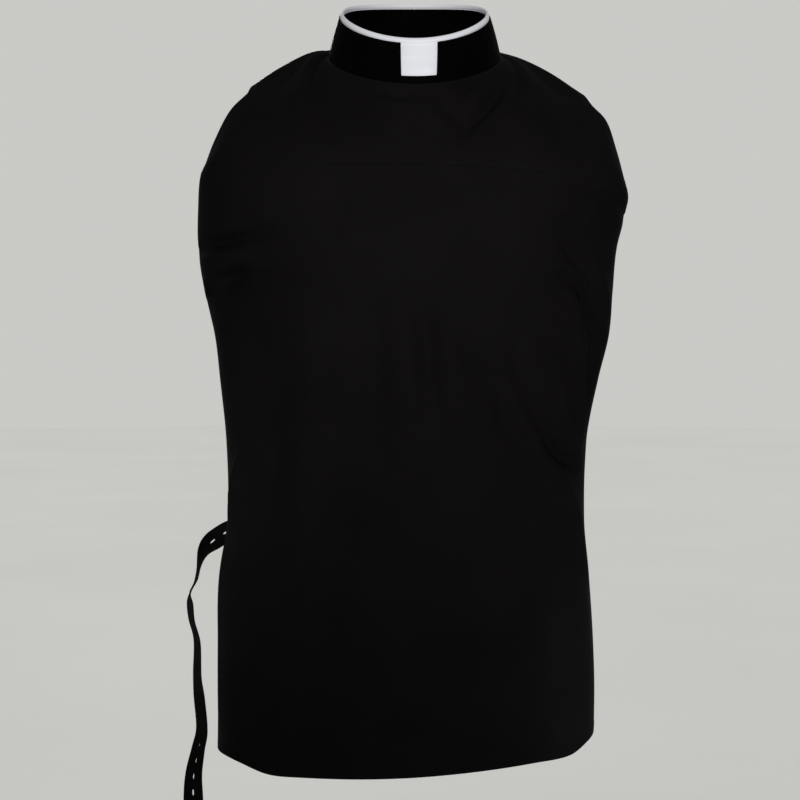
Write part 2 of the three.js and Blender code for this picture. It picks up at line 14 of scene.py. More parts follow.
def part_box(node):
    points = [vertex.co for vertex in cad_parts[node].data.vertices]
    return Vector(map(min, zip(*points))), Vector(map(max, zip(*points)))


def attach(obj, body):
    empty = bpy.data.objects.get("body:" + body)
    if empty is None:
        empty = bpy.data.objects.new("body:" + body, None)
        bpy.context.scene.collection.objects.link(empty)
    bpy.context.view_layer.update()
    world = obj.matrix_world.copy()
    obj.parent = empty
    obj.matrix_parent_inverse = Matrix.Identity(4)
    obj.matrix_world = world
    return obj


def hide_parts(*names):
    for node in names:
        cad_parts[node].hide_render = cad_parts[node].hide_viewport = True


MM = 0.001
SHARP_DEG = 50

# ---- driving dimensions

# Camera's place in metres.
CAMERA_PLACE = (-0.01354, -1.7, -0.22565)
CAMERA_TILT_DEG = 3.124
CAMERA_FOCAL_PX = 1829
FRAME_PX = 800
SENSOR_MM = 36

FLOOR_Z = -1300
FLOOR_RADIUS = 14000
FLOOR_MIDDLE_RADIUS = 40

# Walls of the black cloth here and in the CAD, and the gaps at seams and between plies.
CLOTH = 0.7
CAD_CLOTH = 1.5
SEAM_GAP = 0.3
PLY_GAP = 0.45

# Rings of the collar: half sizes, place and heights at the front, the sides and the back.
NECK_SEAM = {
    "half_width": 79, "half_depth": 69, "middle_y": -3, "front": -34, "side": -1.5, "back": 18,
}
COLLAR_TOP = {
    "half_width": 69.5, "half_depth": 60, "middle_y": -6, "front": 1.6, "side": 33.3, "back": 49.5,
}
BAND_WALL = 1.4
BAND_SWELL = 0.5
# Seam allowance of the band, turned in under the yokes: share of its height and depth inward.
BAND_TUCK = {"rise": -0.08, "inset": 1.5}
LINING_WALL = 0.9
LINING_FOOT = -0.09
LINING_SPAN_DEG = 179.99
EDGE_ROUNDING = {"band": 0.5, "lining": 0.3}
# Notch of the band: x of each edge at the band's foot and at its top, and the strip left below it.
NOTCH = {"left": (-12.3, -13.1), "right": (18.9, 20), "strip": 6.2}
NOTCH_REACH_DEG = 8
BACK_LAP_DEG = 8
LAP_START_DEG = 180 - BACK_LAP_DEG
LAP_EASE_DEG = 24
SHOULDER_DEG = 103

# White inner collar: its wall, its foot above the seam, and the rolled rim at its top.
INSERT = {"wall": 1.3, "foot": 2, "top_room": 0.6, "seat": 0.25, "span_deg": 179.7, "mm_per_deg": 1.25}
RIM = {"wall": 2.6, "height": 5, "overhang": 0.3}
# The insert's face in the notch: its middle, and from where to where the relief fades in.
FACE = {"middle_deg": 2.5, "fade_deg": (16, 8), "rows": 12}
FACE_WRINKLE = {"depth": 0.8, "rise": 0.53, "half_height": 1.3, "fade_deg": (8, -2)}
FACE_SWELL = {"height": 0.7, "rise": 0.36, "half_height": 2, "middle_deg": 9, "half_deg": 3.5}

# Front form: z, left edge, right edge, front of the chest, depth of the sides.
FORM = [
    (-93.9, -186.6, 186, -100, -33),
    (-113.6, -194, 190.6, -104, -31),
    (-138.3, -196.4, 193, -108, -28),
    (-177.9, -197.1, 183.7, -110, -24),
    (-217.6, -191.9, 180.6, -110, -20),
    (-257.3, -183.2, 177.9, -108, -16),
    (-297.2, -179, 169.1, -106, -12),
    (-357.3, -173.7, 158.8, -104.5, -8),
    (-427.7, -173.3, 157.2, -104, -5),
    (-478.2, -181.1, 161.9, -105, -3),
    (-544.2, -182.1, 166.4, -107, -2),
    (-610.4, -183.5, 167.7, -108.5, -2),
    (-651.3, -184.1, 165.9, -109, -2),
]
SECTION_POWER = 2.35
ARC_STEPS = 80
PANEL_WIDTH = 441.35

# Edges of the front panel: share of the width from left to right, z.
CHEST_SEAM = [(0, -110.2), (0.25, -107.9), (0.5, -106.7), (0.75, -113), (0.9, -120.6), (1, -129.9)]
HEM = [
    (0, -642.1),
    (0.1, -640.9),
    (0.16, -643.1),
    (0.23, -648.9),
    (0.3, -648.7),
    (0.5, -646.5),
    (0.75, -637.7),
    (0.84, -636),
    (0.9, -629.2),
    (0.95, -625.9),
    (1, -622.7),
]
HEM_CORNER = {"left": 11, "right": 6}
# Turned hem: width, rise above the single cloth, and how far the step eases out and in.
HEM_FOLD = 8
HEM_STEP = {"rise": 0.35, "outside": 1.2, "inside": 0.4}
STITCH_GROOVE = {"depth": 0.3, "half_width": 0.8}
SEAM_ALLOWANCE = 9

# Creases of the front panel: depth inward, reach on both sides of the line, and the line through
# places given as (share of the width, z). The first reach is to the left of a line that runs down
# and below one that runs right, the second is opposite it.
PANEL_CREASES = [
    (10, 9, 6, [(0.035, -177), (0.123, -174), (0.197, -168), (0.22, -164)]),
    (-4, 7, 7, [(0.05, -191), (0.1, -187), (0.172, -182)]),
    (14, 16, 5, [(0.062, -215), (0.1, -208), (0.13, -204), (0.159, -201), (0.186, -200)]),
    (7, 28, 26, [(0.15, -225), (0.19, -300), (0.2, -390)]),
    (-9, 20, 16, [(0.3, -265), (0.29, -320), (0.282, -400), (0.28, -470)]),
    (-4, 5, 7, [(0.157, -335), (0.115, -370), (0.081, -398), (0.062, -440)]),
    (2, 8, 8, [(0.19, -330), (0.155, -375), (0.115, -410)]),
    (3.5, 16, 22, [(0.35, -340), (0.345, -400), (0.335, -480)]),
    (4, 14, 10, [(0.43, -222), (0.43, -290), (0.44, -340)]),
    (-3, 12, 12, [(0.488, -222), (0.49, -290), (0.496, -340)]),
    (5, 10, 10, [(0.515, -222), (0.53, -275), (0.56, -335)]),
    (-3, 14, 14, [(0.58, -222), (0.587, -280), (0.598, -340)]),
    (4.5, 9, 8, [(0.59, -262), (0.64, -285), (0.685, -305), (0.703, -337), (0.77, -363)]),
    (-3.5, 7, 8, [(0.69, -300), (0.735, -327), (0.79, -360)]),
    (5, 11, 10, [(0.716, -235), (0.709, -269), (0.73, -305), (0.768, -331), (0.825, -360), (0.873, -372)]),
    (6, 6, 6, [(0.8, -350), (0.835, -364), (0.867, -371), (0.895, -374)]),
    (-5, 11, 4, [(0.84, -222), (0.846, -261), (0.862, -288), (0.879, -315), (0.915, -348)]),
    (-3, 6, 8, [(0.82, -303), (0.85, -339), (0.9, -362)]),
    (9, 6, 18, [(0.872, -228), (0.884, -250), (0.888, -270), (0.902, -292), (0.918, -314), (0.935, -345)]),
    (9, 9, 4.5, [(0.8, -203), (0.833, -211), (0.853, -219), (0.87, -231), (0.9, -248), (0.94, -262)]),
    (4.5, 5, 5, [(0.795, -174), (0.84, -195), (0.876, -207)]),
    (-4.5, 9, 11, [(0.86, -185), (0.9, -214), (0.94, -238)]),
    (6, 9, 5, [(0.83, -128), (0.9, -135), (0.985, -145)]),
    (2.5, 9, 9, [(0.78, -165), (0.8, -158), (0.84, -150)]),
    (-4.5, 7, 14, [(0.83, -378), (0.865, -405), (0.9, -430), (0.925, -470)]),
    (4, 14, 8, [(0.77, -385), (0.825, -420), (0.86, -455)]),
    (1.4, 9, 9, [(0.357, -112), (0.362, -140), (0.369, -165)]),
    (-2, 16, 16, [(0.16, -480), (0.2, -540), (0.19, -605)]),
    (2.4, 18, 18, [(0.35, -480), (0.33, -570)]),
    (-2, 16, 16, [(0.7, -450), (0.66, -520), (0.68, -590)]),
    (2.4, 14, 16, [(0.84, -500), (0.82, -550), (0.84, -605)]),
    (-2, 10, 10, [(0.05, -470), (0.045, -540), (0.05, -600)]),
]
# Creases of the front yoke, the line through places given as (x, z).
YOKE_CREASES = [
    (-4.5, 10, 10, [(44, -42), (54, -54)]),
    (6, 6, 5, [(76, -26), (73, -42), (64, -56), (50, -70), (42, -80)]),
    (4, 7, 7, [(16, -42), (28, -58), (44, -74)]),
    (3.5, 6, 5, [(-34, -40), (-16, -45), (0, -44)]),
    (1.5, 12, 12, [(-120, -60), (-90, -78), (-50, -88)]),
    (-1.5, 12, 12, [(-85, -35), (-105, -62)]),
    (1.8, 11, 11, [(105, -48), (125, -78), (140, -100)]),
    (-1.6, 10, 10, [(80, -42), (96, -75)]),
    (1.2, 10, 10, [(-10, -70), (20, -80), (60, -88)]),
]
# Creases of each back yoke, the line through places given as (distance from the middle, y).
BACK_CREASES = [
    (2, 8, 8, [(40, 72), (62, 82), (80, 84)]),
    (-1.6, 9, 9, [(70, 50), (90, 62), (110, 64)]),
    (1.6, 8, 8, [(88, 26), (108, 24), (128, 22)]),
]
# Low, wide unevenness of the cloth, which fades out at the panel's edges, and where each piece
# starts in its noise.
DRIFT = {"height": 0.7, "length": 70, "edge": 25}
DRIFT_START = {"front_panel": 3.7, "front_yoke": 8.1, "back_yoke": 5.3}

# Half the slit between the back yokes, whose edges all but meet.
BACK_OPENING_HALF = 0.005
# Lines that run out from the neck, with x as the distance from the middle: the shoulder seams,
# the ridges of the shoulders and the rest of the back yokes, up to the middle of the back.
SHOULDER_SEAM = {
    "left": [(93, 4, 0.7), (123.8, -12, -27.3), (152.6, -19, -36.8)],
    "right": [(96.3, 4, -4.7), (131.1, -12, -34.2), (161.9, -19, -48.2)],
}
SHOULDER_RIDGE = {
    "left": [(94, 17, 5.9), (124.7, 9, -10.5), (149.6, 5, -28.3)],
    "right": [(96.2, 17, 0.5), (127, 9, -15.9), (153.9, 4, -35.2)],
}
BACK_RAYS = [
    [(82, 38, 5), (112, 32, -16), (143, 30, -42)],
    [(68, 57, 5), (95, 63, -20), (124, 66, -60)],
    [(47, 68, 5), (66, 80, -24), (84, 86, -68)],
    [(24, 74, 5), (33, 88, -26), (42, 95, -72)],
    [(BACK_OPENING_HALF, 76, 5), (BACK_OPENING_HALF, 91, -26), (BACK_OPENING_HALF, 98, -74)],
]
# How far the front yoke's edge keeps forward of the shoulder seam and below it.
SHOULDER_SEAM_ROOM = np.array((0, 0.5, 0.3))
# Seam allowance of the front yoke, turned in under the back yokes: its size, its width's share at
# the neck, the shares of the yoke's width over which it narrows and that it keeps off the armhole.
SHOULDER_TUCK = {"width": 6, "depth": 1.4, "neck_share": 0.25, "narrowing": 0.03, "margin": 0.004}

# Edge of the armholes below the shoulder seam, and its rise above the chest seam at the side.
ARMHOLE = {
    "left": [(167.6, -26, -52.8), (181.6, -30, -80)],
    "right": [(173.9, -25, -62.1), (183, -29, -88.9)],
}
ARMHOLE_FOOT = 7
YOKE_FOOT_LEAN_DEG = 8
YOKE_SHARES = {"shoulder_end": 0.14, "neck_side": 0.31}
# Top of the yoke: share of the width from the nearer side, lean back, turn towards the neck.
YOKE_TOP = [
    (0, 6, 0),
    (0.14, 58, 0),
    (0.25, 60, 15),
    (0.31, 62, 45),
    (0.36, 58, 60),
    (0.42, 42, 40),
    (0.5, 27, 0),
]

STRAP = {
    "width": 19, "thickness": 1.1, "seam_z": -438.1, "sewn": 24, "from_edge": 3, "seat": 0.8, "stations": 520,
}
STRAP_RIBS = {"count": 9, "height": 0.14}
STRAP_KNIT = {"pitch": 1.9, "height": 0.05}
SLIT = {"length": 7, "width": 1.7, "pitch": 15.5, "first": 8, "end_room": 4}
# Box of stitches on the strap's sewn end: distances from the panel's edge, and half its height.
STRAP_BOX = {"near": 4, "far": STRAP["sewn"] - 3, "half_height": 7.5}
# Strap's run: x, y, z, tilt of its width from upright to level, turn about its run.
STRAP_RUN = [
    (-172.1, 5, -440.4, 92, 0),
    (-179.2, 12, -445, 110, 4),
    (-190.1, 14, -452.6, 128, 22),
    (-195.9, 15, -459.7, 145, 54),
    (-199.8, 16, -467.5, 162, 75),
    (-203.1, 17, -478.6, 180, 86),
    (-206, 17, -490.8, 180, 88),
    (-210.9, 17, -500.9, 180, 92),
    (-211.5, 17, -511.1, 180, 112),
    (-210.2, 17, -527.3, 180, 113),
    (-205.3, 17, -546.6, 180, 114),
    (-205.1, 17, -581.2, 180, 119),
    (-203.6, 18, -601.6, 180, 128),
    (-201.4, 18, -634.3, 180, 129),
    (-204.9, 19, -651.7, 180, 134),
    (-209.7, 20, -677.2, 180, 152),
    (-210.5, 20, -708, 180, 182),
    (-209.1, 20, -778, 180, 194),
    (-210.4, 20, -846.3, 180, 186),
]

STITCH = {"length": 2.1, "pitch": 3, "radius": 0.28, "flatness": 0.6, "sides": 6}
# Rings of a stitch: share of its length, share of its radius.
STITCH_RINGS = [(-0.5, 0.15), (-0.38, 0.8), (0, 1), (0.38, 0.8), (0.5, 0.15)]
# Depth of stitches below the cloth, and distance of the yokes' stitch lines from their edges.
STITCH_INSET = {"hem": 0.15, "strap": -0.05}
YOKE_STITCH_LINE = 1.8
BACK_STITCH_LINE = 6

BUTTON = {"thickness": 2.2, "hole_spacing": 2.6}
WAIST_BUTTON_SHARE = 0.968
COLLAR_BUTTON_FACING = (0, 0.98, 0.2)
THREAD = {"radius": 0.22, "beside": 0.25, "clearance": 0.15, "sides": 8, "taper": 0.05}
# Thread over a button: share of the way from hole to hole, share of its height.
THREAD_ARC = [(-1.05, -0.6), (-1, 0.75), (-0.6, 1.05), (0, 1.12), (0.6, 1.05), (1, 0.75), (1.05, -0.6)]

# Woven materials: darkest and lightest shade, roughness, specular level, sheen, threads a
# millimetre, relief.
WOVEN = {
    "black_poly_cotton": ((0.0022, 0.0019, 0.002), (0.0032, 0.0028, 0.003), 0.55, 0.003, 0, 2.4, 0.35),
    "black_collar_cloth": ((0.0003,) * 3, (0.0008,) * 3, 0.55, 0.003, 0.0006, 2.6, 0.3),
    "white_collar_linen": ((0.33, 0.333, 0.356), (0.366, 0.37, 0.394), 0.55, 0.4, 0.1, 2.2, 0.2),
    "black_elastic_knit": ((0.0008,) * 3, (0.002,) * 3, 0.75, 0.02, 0.006, 1, 0.8),
    "black_thread": ((0.0015,) * 3, (0.0035,) * 3, 0.5, 0.03, 0.01, 3, 0.4),
}
# Plastics: darkest and lightest shade, roughness.
PLASTIC = {"black_polyester": ((0.003, 0.003, 0.0034), (0.01, 0.01, 0.011), 0.3)}
# Bands that a wave texture of scale 1 makes in one unit of length.
BANDS_AT_SCALE_ONE = 3.18

# Soft lamps: name, place and the place they face in metres, side, watts, spread in degrees.
LAMPS = [
    ("key", (0.15, -2.4, 0.0), (0.03, -0.1, -0.1), 0.4, 2.4, 29),
    ("edge_right", (1.4, -0.3, -1.0), (0.17, 0, -0.6), 0.15, 0.34, 22),
    ("edge_left", (-1.5, -0.3, -0.9), (-0.2, 0, -0.42), 0.15, 0.1, 12),
    ("back", (-0.2, 2.6, 0.4), (0, 0.05, -0.2), 0.8, 22, 70),
]
# Strength of the pale room all round, and of the floor's own glow that evens it out.
ROOM = 0.6
FLOOR_GLOW = 0.16

# ---- small helpers


def mix(start, end, share):
    return start + (end - start) * share


def smooth(value, low, high):
    share = np.clip((value - low) / (high - low), 0, 1)
    return share * share * (3 - 2 * share)


def unit(vectors):
    return vectors / np.linalg.norm(vectors, axis=-1, keepdims=True)


def hermite(start, end, start_slope, end_slope, t):
    square = t * t
    cube = square * t
    start_share = 2 * cube - 3 * square + 1
    end_share = 3 * square - 2 * cube
    bend = (cube - 2 * square + t) * start_slope + (cube - square) * end_slope
    return start_share * start + end_share * end + bend


def table_value(rows, column, at):
    """Smooth value of a table's column where its first column, which rises or falls, is at."""
    rows = np.asarray(rows, float)
    if rows[0, 0] > rows[-1, 0]:
        rows = rows[::-1]
    keys, values = rows[:, 0], rows[:, column]
    last = len(keys) - 1
    before = np.maximum(np.arange(last + 1) - 1, 0)
    after = np.minimum(np.arange(last + 1) + 1, last)
    slopes = (values[after] - values[before]) / (keys[after] - keys[before])
    upper = np.clip(np.searchsorted(keys, at, side="right"), 1, last)
    lower = upper - 1
    span = keys[upper] - keys[lower]
    t = (at - keys[lower]) / span
    return hermite(values[lower], values[upper], slopes[lower] * span, slopes[upper] * span, t)


def lengths_along(points):
    """Length of a line of points up to each of them."""
    return np.concatenate([[0], np.cumsum(np.linalg.norm(np.diff(points, axis=0), axis=1))])


def places_along(lengths, values, at):
    """Points or directions at lengths along a line that has the values at its own lengths."""
    return np.stack([np.interp(at, lengths, values[:, axis]) for axis in range(3)], -1)


class SmoothCurve:
    """Centripetal Catmull-Rom curve through points."""

    def __init__(self, points, divisions=400):
        points = np.asarray(points, float)
        first = 2 * points[0] - points[1]
        last = 2 * points[-1] - points[-2]
        self.points = np.vstack([first, points, last])
        self.knots = np.linspace(0, 1, divisions + 1)
        self.lengths = lengths_along(self.at(self.knots))
        self.length = self.lengths[-1]

    def at(self, t):
        spans = len(self.points) - 3
        place = np.clip(np.asarray(t, float) * spans, 0, spans - 1e-9)
        index = place.astype(int)
        share = (place - index)[..., None]
        a, b, c, d = (self.points[index + shift] for shift in range(4))
        before, gap, after = (
            np.sqrt(np.linalg.norm(end - start, axis=-1, keepdims=True))
            for start, end in ((a, b), (b, c), (c, d))
        )
        start_slope = ((b - a) / before - (c - a) / (before + gap) + (c - b) / gap) * gap
        end_slope = ((c - b) / gap - (d - b) / (gap + after) + (d - c) / after) * gap
        return hermite(b, c, start_slope, end_slope, share)

    def t_at(self, share):
        return np.interp(np.asarray(share) * self.length, self.lengths, self.knots)

    def at_share(self, share):
        return self.at(self.t_at(share))


def mirrored(points, side):
    sign = -1 if side == "left" else 1
    return np.asarray(points, float) * (sign, 1, 1)


def crease_depth(creases, u, v):
    """Distance that creases move the places (u, v) inward, in the plane of their lines."""
    total = np.zeros(u.shape)
    for depth, reach_left, reach_right, line in creases:
        knots = np.linspace(0, 1, 60)
        if len(line) > 2:
            path = SmoothCurve([(*place, 0) for place in line]).at_share(knots)[:, :2]
        else:
            path = mix(np.array(line[0], float), np.array(line[1], float), knots[:, None])
        away = np.stack([u[..., None] - path[:, 0], v[..., None] - path[:, 1]], -1)
        distance = np.hypot(away[..., 0], away[..., 1])
        nearest = distance.argmin(-1)
        offset = np.take_along_axis(away, nearest[..., None, None], -2)[..., 0, :]
        along = np.gradient(path, axis=0)[nearest]
        on_left = along[..., 0] * offset[..., 1] - along[..., 1] * offset[..., 0] < 0
        reach = np.where(on_left, reach_left, reach_right)
        fade = np.sin(math.pi * mix(0.12, 0.88, knots[nearest]))
        total += depth * fade * np.exp(-((distance.min(-1) / reach) ** 2))
    return total


def drift(points, piece):
    """Low, wide unevenness of hanging cloth at each point."""
    shape = points.shape[:-1]
    flat = points.reshape(-1, 3) / DRIFT["length"] + DRIFT_START[piece]
    values = [noise.noise(Vector(point)) for point in flat]
    return DRIFT["height"] * np.array(values).reshape(shape)


# ---- meshes


def inward_normals(grid):
    """Inward direction at each point. Seen from outside, columns run right and rows run down."""
    right = np.gradient(grid, axis=1)
    down = np.gradient(grid, axis=0)
    return unit(np.cross(right, down))


def shell_faces(shape, is_cloth):
    """Corner indices of a closed wall: its outer points come first, then the inner ones."""
    rows, columns = shape
    index = np.arange(rows * columns).reshape(rows, columns)
    inner = rows * columns
    corners = np.stack([index[:-1, :-1], index[1:, :-1], index[1:, 1:], index[:-1, 1:]], -1)
    padded = np.pad(is_cloth, 1)
    beyond = [padded[1:-1, :-2], padded[2:, 1:-1], padded[1:-1, 2:], padded[:-2, 1:-1]]
    faces = [corners[is_cloth], corners[is_cloth][:, ::-1] + inner]
    for edge, neighbour in enumerate(beyond):
        open_edge = is_cloth & ~neighbour
        start = corners[open_edge][:, edge]
        end = corners[open_edge][:, (edge + 1) % 4]
        faces.append(np.stack([end, start, start + inner, end + inner], -1))
    return np.concatenate(faces)


def mesh_object(name, points, faces, material, uv=None):
    """Smooth-shaded mesh object in metres from points in millimetres."""
    used, faces = np.unique(faces, return_inverse=True)
    faces = faces.reshape(-1, 4)
    mesh = bpy.data.meshes.new(name)
    mesh.from_pydata((points[used] * MM).tolist(), [], faces.tolist())
    if uv is not None:
        layer = mesh.uv_layers.new(name="cloth")
        corner_points = np.empty(len(mesh.loops), int)
        mesh.loops.foreach_get("vertex_index", corner_points)
        layer.data.foreach_set("uv", (uv[used][corner_points] * MM).astype(np.float32).ravel())
    mesh.shade_smooth()
    mesh.set_sharp_from_angle(angle=math.radians(SHARP_DEG))
    mesh.materials.append(material)
    piece = bpy.data.objects.new(name, mesh)
    bpy.context.scene.collection.objects.link(piece)
    return piece


def cloth_shell(name, grid, thickness, uv, material, is_cloth=None):
    """Closed thin wall whose outer face is the grid."""
    if is_cloth is None:
        is_cloth = np.ones((grid.shape[0] - 1, grid.shape[1] - 1), bool)
    inner = grid + inward_normals(grid) * thickness
    points = np.concatenate([grid.reshape(-1, 3), inner.reshape(-1, 3)])
    flat_uv = np.concatenate([uv.reshape(-1, 2)] * 2)
    return mesh_object(name, points, shell_faces(grid.shape[:2], is_cloth), material, flat_uv)


def round_edges(piece, width):
    modifier = piece.modifiers.new("rounded_edges", "BEVEL")
    modifier.width = width * MM
    modifier.segments = 3
    modifier.limit_method = "ANGLE"
    modifier.angle_limit = math.radians(SHARP_DEG)
    return piece


def grid_uv(grid):
    """Lengths along the rows and columns of a grid, for a weave that follows the cloth."""
    across = np.linalg.norm(np.diff(grid, axis=1), axis=-1).mean(0)
    down = np.linalg.norm(np.diff(grid, axis=0), axis=-1).mean(1)
    u = np.concatenate([[0], np.cumsum(across)])
    v = -np.concatenate([[0], np.cumsum(down)])
    return np.stack(np.meshgrid(u, v), -1)


def tube_faces(ring_count, sides):
    """Corner indices of an open tube of rings."""
    rings = np.arange(ring_count * sides).reshape(-1, sides)
    turned = np.roll(rings, -1, axis=1)
    return np.stack([rings[:-1], turned[:-1], turned[1:], rings[1:]], -1).reshape(-1, 4)


def stitch_row(line, outward):
    """Points and faces of stitches along a line, lying on a surface that faces outward."""
    lengths = lengths_along(line)
    places = np.arange(STITCH["pitch"] / 2, lengths[-1], STITCH["pitch"])
    centre = places_along(lengths, line, places)
    along = unit(places_along(lengths, line, places + 0.5) - places_along(lengths, line, places - 0.5))
    normal = places_along(lengths, outward, places)
    normal = unit(normal - along * (normal * along).sum(-1, keepdims=True))
    side = np.cross(along, normal)
    angle = 2 * math.pi * np.arange(STITCH["sides"])[:, None] / STITCH["sides"]
    spread = side[:, None] * np.cos(angle) + STITCH["flatness"] * normal[:, None] * np.sin(angle)
    rings = [
        centre[:, None] + along[:, None] * share * STITCH["length"] + spread * radius * STITCH["radius"]
        for share, radius in STITCH_RINGS
    ]
    points = np.stack(rings, 1).reshape(-1, 3)
    each = len(STITCH_RINGS) * STITCH["sides"]
    faces = tube_faces(len(STITCH_RINGS), STITCH["sides"]) + each * np.arange(len(places))[:, None, None]
    return points, faces.reshape(-1, 4)


def stitches(name, rows, material):
    """One mesh of all stitches along rows of (line, outward)."""
    points, faces, count = [], [], 0
    for line, outward in rows:
        row_points, row_faces = stitch_row(line, outward)
        points.append(row_points)
        faces.append(row_faces + count)
        count += len(row_points)
    return mesh_object(name, np.concatenate(points), np.concatenate(faces), material)


# ---- materials


class Nodes:
    """Short way to a material's or world's node tree."""

    def __init__(self, owner):
        owner.use_nodes = True
        self.tree = owner.node_tree
        self.tree.nodes.clear()

    def add(self, kind, **settings):
        node = self.tree.nodes.new("ShaderNode" + kind)
        for key, value in settings.items():
            setattr(node, key, value)
        return node

    def feed(self, slot, value):
        """Gives an input a value, or a link from another node's output."""
        if isinstance(value, bpy.types.NodeSocket):
            self.tree.links.new(value, slot)
        else:
            slot.default_value = value

    def fill(self, node, **values):
        for key, value in values.items():
            self.feed(node.inputs[key.replace("_", " ")], value)
        return node

    def calculate(self, operation, *values):
        node = self.add("Math", operation=operation)
        for slot, value in zip(node.inputs, values):
            self.feed(slot, value)
        return node.outputs[0]


def weave_height(nodes, threads_per_mm):
    """Height of a plain weave: threads along the cloth crossed by threads down it."""
    place = nodes.add("UVMap", uv_map="cloth").outputs["UV"]
    scale = threads_per_mm / MM / BANDS_AT_SCALE_ONE
    heights = []
    for direction in ("X", "Y"):
        wave = nodes.add("TexWave", bands_direction=direction, wave_profile="SIN")
        nodes.fill(wave, Vector=place, Scale=scale, Distortion=0.6, Detail=1.0, Detail_Scale=0.4)
        heights.append(wave.outputs["Fac"])
    return nodes.calculate("MULTIPLY", *heights)


def noise_between(nodes, scale, low, high, detail=3.0):
    """Noise over the cloth, stretched to run from low to high."""
    place = nodes.add("TexCoord").outputs["Object"]
    texture = nodes.fill(nodes.add("TexNoise"), Vector=place, Scale=scale, Detail=detail, Roughness=0.55)
    span = nodes.fill(nodes.add("MapRange"), From_Min=0.3, From_Max=0.7, To_Min=low, To_Max=high)
    return nodes.fill(span, Value=texture.outputs["Fac"]).outputs["Result"]


def colour_between(nodes, share, low, high):
    blend = nodes.add("Mix", data_type="RGBA")
    return nodes.fill(blend, Factor=share, A=(*low, 1), B=(*high, 1)).outputs["Result"]


def finish_surface(nodes, shader, height, relief, reach):
    """Raises the surface by a height and joins it to the material's output."""
    bump = nodes.fill(nodes.add("Bump"), Height=height, Strength=relief, Distance=reach * MM)
    nodes.fill(shader, Normal=bump.outputs["Normal"])
    nodes.fill(nodes.add("OutputMaterial"), Surface=shader.outputs["BSDF"])


def woven_material(name):
    """Woven cloth: two close shades, uneven roughness, a weave that follows the cloth, a nap."""
    dark, light, roughness, specular, sheen, threads_per_mm, relief = WOVEN[name]
    material = bpy.data.materials.new(name)
    nodes = Nodes(material)
    weave = weave_height(nodes, threads_per_mm)
    patches = nodes.calculate("MULTIPLY", noise_between(nodes, 18, 0, 1), 0.5)
    shade = nodes.calculate("MULTIPLY_ADD", weave, 0.5, patches)
    fuzz = noise_between(nodes, 2500, 0, 0.4, detail=2.0)
    shader = nodes.fill(
        nodes.add("BsdfPrincipled"),
        Base_Color=colour_between(nodes, shade, dark, light),
        Roughness=noise_between(nodes, 25, roughness - 0.05, roughness + 0.05),
        Specular_IOR_Level=specular,
        Sheen_Weight=sheen,
        Sheen_Roughness=0.35,
        Sheen_Tint=(0.9, 0.9, 0.95, 1),
    )
    finish_surface(nodes, shader, nodes.calculate("ADD", weave, fuzz), relief, 0.12)
    return material


def plastic_material(name):
    """Polyester button: faint pearly swirls under a satin surface."""
    dark, light, roughness = PLASTIC[name]
    material = bpy.data.materials.new(name)
    nodes = Nodes(material)
    swirl = noise_between(nodes, 260, 0, 1, detail=4.0)
    shader = nodes.fill(
        nodes.add("BsdfPrincipled"),
        Base_Color=colour_between(nodes, swirl, dark, light),
        Roughness=noise_between(nodes, 400, roughness - 0.06, roughness + 0.06),
    )
    finish_surface(nodes, shader, swirl, 0.1, 0.1)
    return material


# ---- collar


def ring_height(ring, backward):
    """Height of a ring where backward runs from -1 at the front to 1 at the back."""
    rise = (ring["back"] - ring["front"]) / 2
    bend = (ring["back"] + ring["front"]) / 2 - ring["side"]
    return ring["side"] + rise * backward + bend * backward**2


def collar_points(angle_deg, rise, inset=0.0):
    """Points of the collar at angles round the neck, shares of its height and depths inward."""
    values = (np.asarray(value, float) for value in (angle_deg, rise, inset))
    angle_deg, rise, inset = np.broadcast_arrays(*values)
    angle = np.radians(angle_deg)
    keys = ("half_width", "half_depth", "middle_y")
    half_width, half_depth, middle_y = (mix(NECK_SEAM[key], COLLAR_TOP[key], rise) for key in keys)
    backward = -np.cos(angle)
    outward = unit(np.stack([np.sin(angle) / half_width, backward / half_depth, 0 * angle], -1))
    height = mix(ring_height(NECK_SEAM, backward), ring_height(COLLAR_TOP, backward), rise)
    points = np.stack([half_width * np.sin(angle), middle_y + half_depth * backward, height], -1)
    return points - outward * inset[..., None]


def neck_edge(angle_deg):
    """Neck edge of the yokes, just under the foot of the band."""
    return collar_points(angle_deg, 0, SEAM_GAP) - (0, 0, 2 * SEAM_GAP)


def band_height(angle_deg):
    return float(np.linalg.norm(collar_points(angle_deg, 1) - collar_points(angle_deg, 0)))


def angle_at_x(x, rise=0.0):
    return np.degrees(np.arcsin(x / mix(NECK_SEAM["half_width"], COLLAR_TOP["half_width"], rise)))


def notch_turn(angle_deg, rise):
    """Turn of the band's columns that keeps both edges of its notch upright."""
    turn = 0
    for foot_x, top_x in (NOTCH["left"], NOTCH["right"]):
        edge = angle_at_x(foot_x)
        near = np.exp(-(((angle_deg - edge) / NOTCH_REACH_DEG) ** 2))
        turn = turn + near * (angle_at_x(mix(foot_x, top_x, rise), rise) - edge)
    return turn


def lap_inset(angle_deg):
    """Inset, below zero, with which the band's right end rides over its left end at the back."""
    return -(BAND_WALL + PLY_GAP) * smooth(angle_deg, LAP_START_DEG - LAP_EASE_DEG, LAP_START_DEG)


